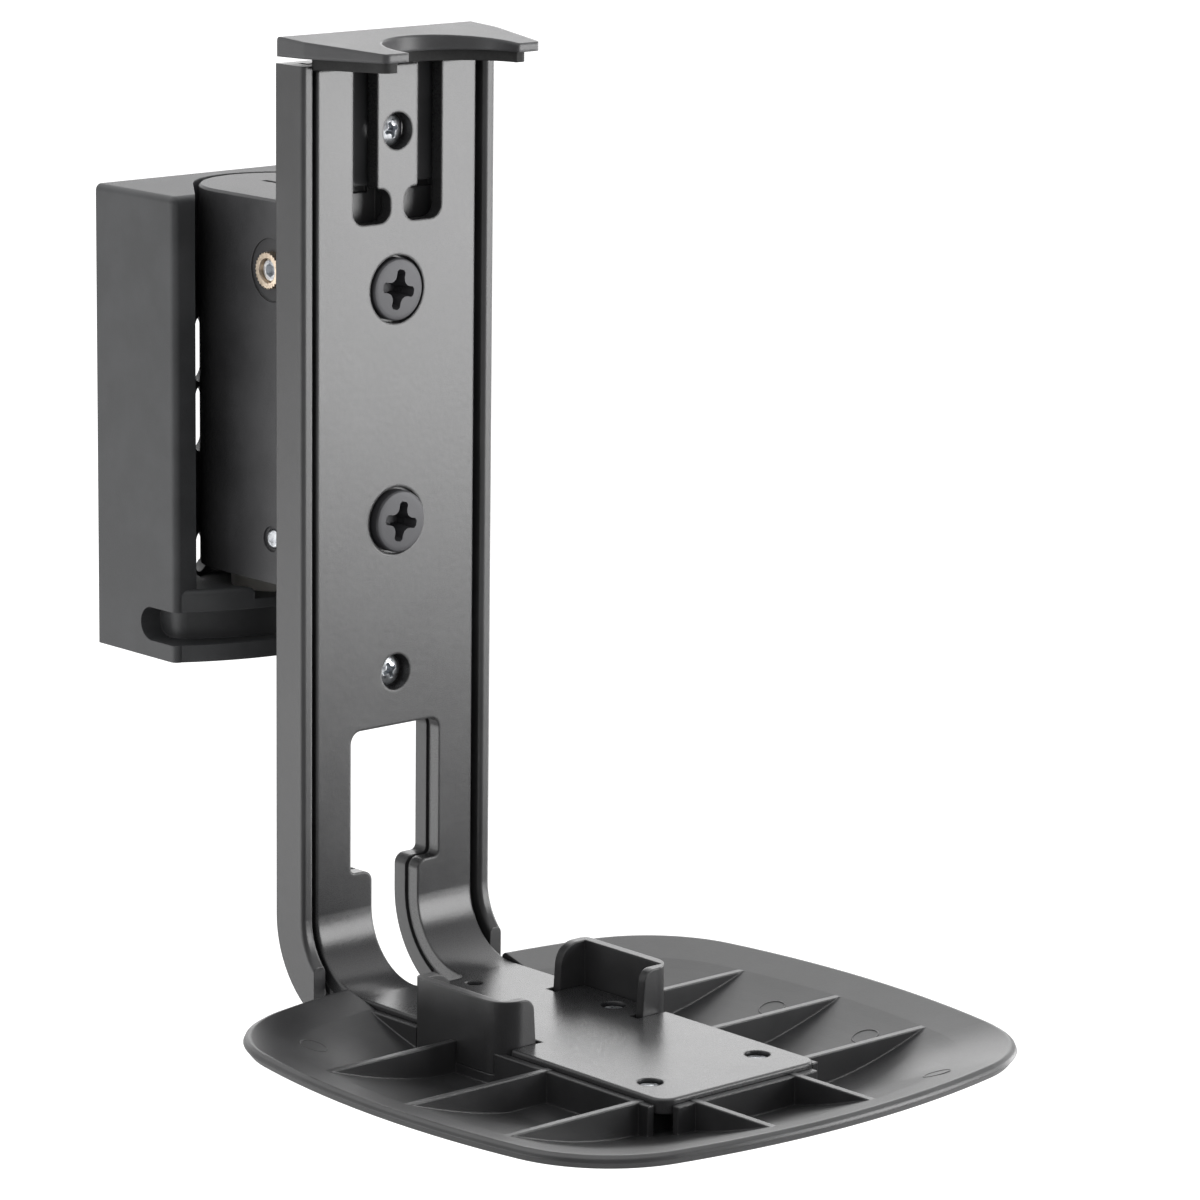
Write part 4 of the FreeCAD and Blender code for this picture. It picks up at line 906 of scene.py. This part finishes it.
@dataclass(frozen=True)
class Surroundings:
    """World that is even for the camera, with a dark front and a bright ceiling in mirrors."""

    diffuse_level: float = 0.85
    front_level: float = 0.15
    front_span: Pair = (-0.35, 0.3)
    ceiling_level: float = 1.2
    ceiling_span: Pair = (0.45, 0.75)

    def strength(self, graph: Graph) -> Field:
        """Strength of the world in each direction.

        Args:
            graph: The world's graph.

        Returns:
            The strength.
        """
        way = graph.node("ShaderNodeTexCoord", {}, {}, "Generated")
        ahead = graph.node("ShaderNodeSeparateXYZ", {}, {"Vector": way}, "Y")
        above = graph.node("ShaderNodeSeparateXYZ", {}, {"Vector": way}, "Z")
        level = self.front_level + (1.0 - self.front_level) * ahead.step(*self.front_span)
        mirrored = level + self.ceiling_level * above.step(*self.ceiling_span)
        lit = self.diffuse_level + (mirrored - self.diffuse_level) * graph.seen()
        return lit + (1.0 - lit) * graph.ray("Is Camera Ray")

    def build(self) -> None:
        """Set the world."""
        world = bpy.data.worlds.new("surroundings")
        world.use_nodes = True
        bpy.context.scene.world = world
        graph = Graph(world.node_tree)
        inputs = {"Color": grey(1.0), "Strength": self.strength(graph)}
        shader = graph.node("ShaderNodeBackground", {}, inputs)
        graph.raw("ShaderNodeOutputWorld", {}, {"Surface": shader})


@dataclass(frozen=True)
class Floor:
    """Plain pale floor below the bracket. It glows for camera rays as a white backdrop, and for glossy rays
    alone as a painted reflection that is darker close by and paler far off.
    """

    height: float = -0.47
    half: float = 6.0
    cells: int = 8
    mottle: float = 0.3
    dark: float = 0.38
    pale: float = 0.42
    direct: float = 0.85
    near: float = 0.12
    distant: float = 0.7
    reach: Pair = (0.5, 1.6)
    roughness: float = 0.9

    def material(self) -> bpy.types.Material:
        """Build the floor's material."""
        material, graph = new_graph("pale_floor")
        colour = graph.blend(graph.noise(self.mottle, 2.0), grey(self.dark), grey(self.pale))
        inputs = {"Vector": graph.place()}
        away = graph.node("ShaderNodeVectorMath", {"operation": "LENGTH"}, inputs, "Value")
        # Painted reflection: a glow that only glossy rays see, darker close by and paler far off.
        painted_reflection_sweep = graph.blend(away.step(*self.reach), grey(self.near), grey(self.distant))
        mirrored = graph.blend(graph.seen(), grey(0.0), painted_reflection_sweep)
        glow = graph.blend(graph.ray("Is Camera Ray"), mirrored, grey(self.direct))
        inputs = {"Base Color": colour, "Roughness": self.roughness}
        surface(graph, {**inputs, "Emission Color": glow, "Emission Strength": 1.0})
        return material

    def build(self) -> None:
        """Lay the floor."""
        mesh = bmesh.new()
        place = Matrix.Translation((0, 0, self.height))
        bmesh.ops.create_grid(
            mesh, x_segments=self.cells, y_segments=self.cells, size=self.half, matrix=place)
        data = bpy.data.meshes.new("floor")
        mesh.to_mesh(data)
        mesh.free()
        floor = bpy.data.objects.new("floor", data)
        bpy.context.scene.collection.objects.link(floor)
        data.materials.append(self.material())


@dataclass(frozen=True)
class Softbox:
    """Square or oblong lamp that looks at a point. Both places are measured from the studio's centre."""

    name: str
    spot: Vector
    target: Vector
    width: float
    height: float
    radiance: float

    def build(self, centre: Vector) -> None:
        """Build the lamp.

        Args:
            centre: The studio's centre.
        """
        light = bpy.data.lights.new(self.name, "AREA")
        light.shape = "RECTANGLE"
        light.size = self.width
        light.size_y = self.height
        light.energy = self.radiance * math.pi * self.width * self.height
        lamp = bpy.data.objects.new(self.name, light)
        lamp.location = centre + self.spot
        way = (centre + self.target) - (centre + self.spot)
        lamp.rotation_euler = way.to_track_quat("-Z", "Y").to_euler()
        lamp.visible_camera = False
        bpy.context.scene.collection.objects.link(lamp)


@dataclass
class Studio:
    """Camera, floor, world and lamps."""

    centre: Vector = Vector((0.0, -0.08, -0.05))
    lamps: tuple[Softbox, ...] = (
        Softbox("key_softbox", Vector((0.6, -0.66, 0.07)), Vector((0.0, 0.0, 0.07)), 0.45, 0.46, 10.0),
        Softbox("side_softbox", Vector((-0.91, 0.42, -0.27)), Vector((0.0, 0.0, -0.27)), 1.2, 0.3, 3.6),
        Softbox("back_softbox", Vector((0.66, 0.73, 0.23)), Vector((0.0, 0.0, 0.0)), 0.9, 0.36, 2.0),
        Softbox("right_softbox", Vector((0.95, -0.05, 0.0)), Vector((0.0, 0.0, 0.0)), 0.5, 0.7, 4.0),
    )

    def build(self) -> None:
        """Build the whole studio."""
        Viewpoint().build()
        Surroundings().build()
        Floor().build()
        for lamp in self.lamps:
            lamp.build(self.centre)
        bpy.context.scene.view_settings.view_transform = "Standard"


def main() -> None:
    """Build the bracket and its studio."""
    logging.basicConfig(level=logging.INFO, format="%(message)s")
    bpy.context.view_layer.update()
    Studio().build()
    for unit in (WallUnit(), SwivelUnit(), ArmUnit(), TrayUnit(), CapUnit()):
        unit.build()
        log.info("built %s", type(unit).__name__)
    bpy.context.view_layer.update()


if __name__ == "__main__":
    main()
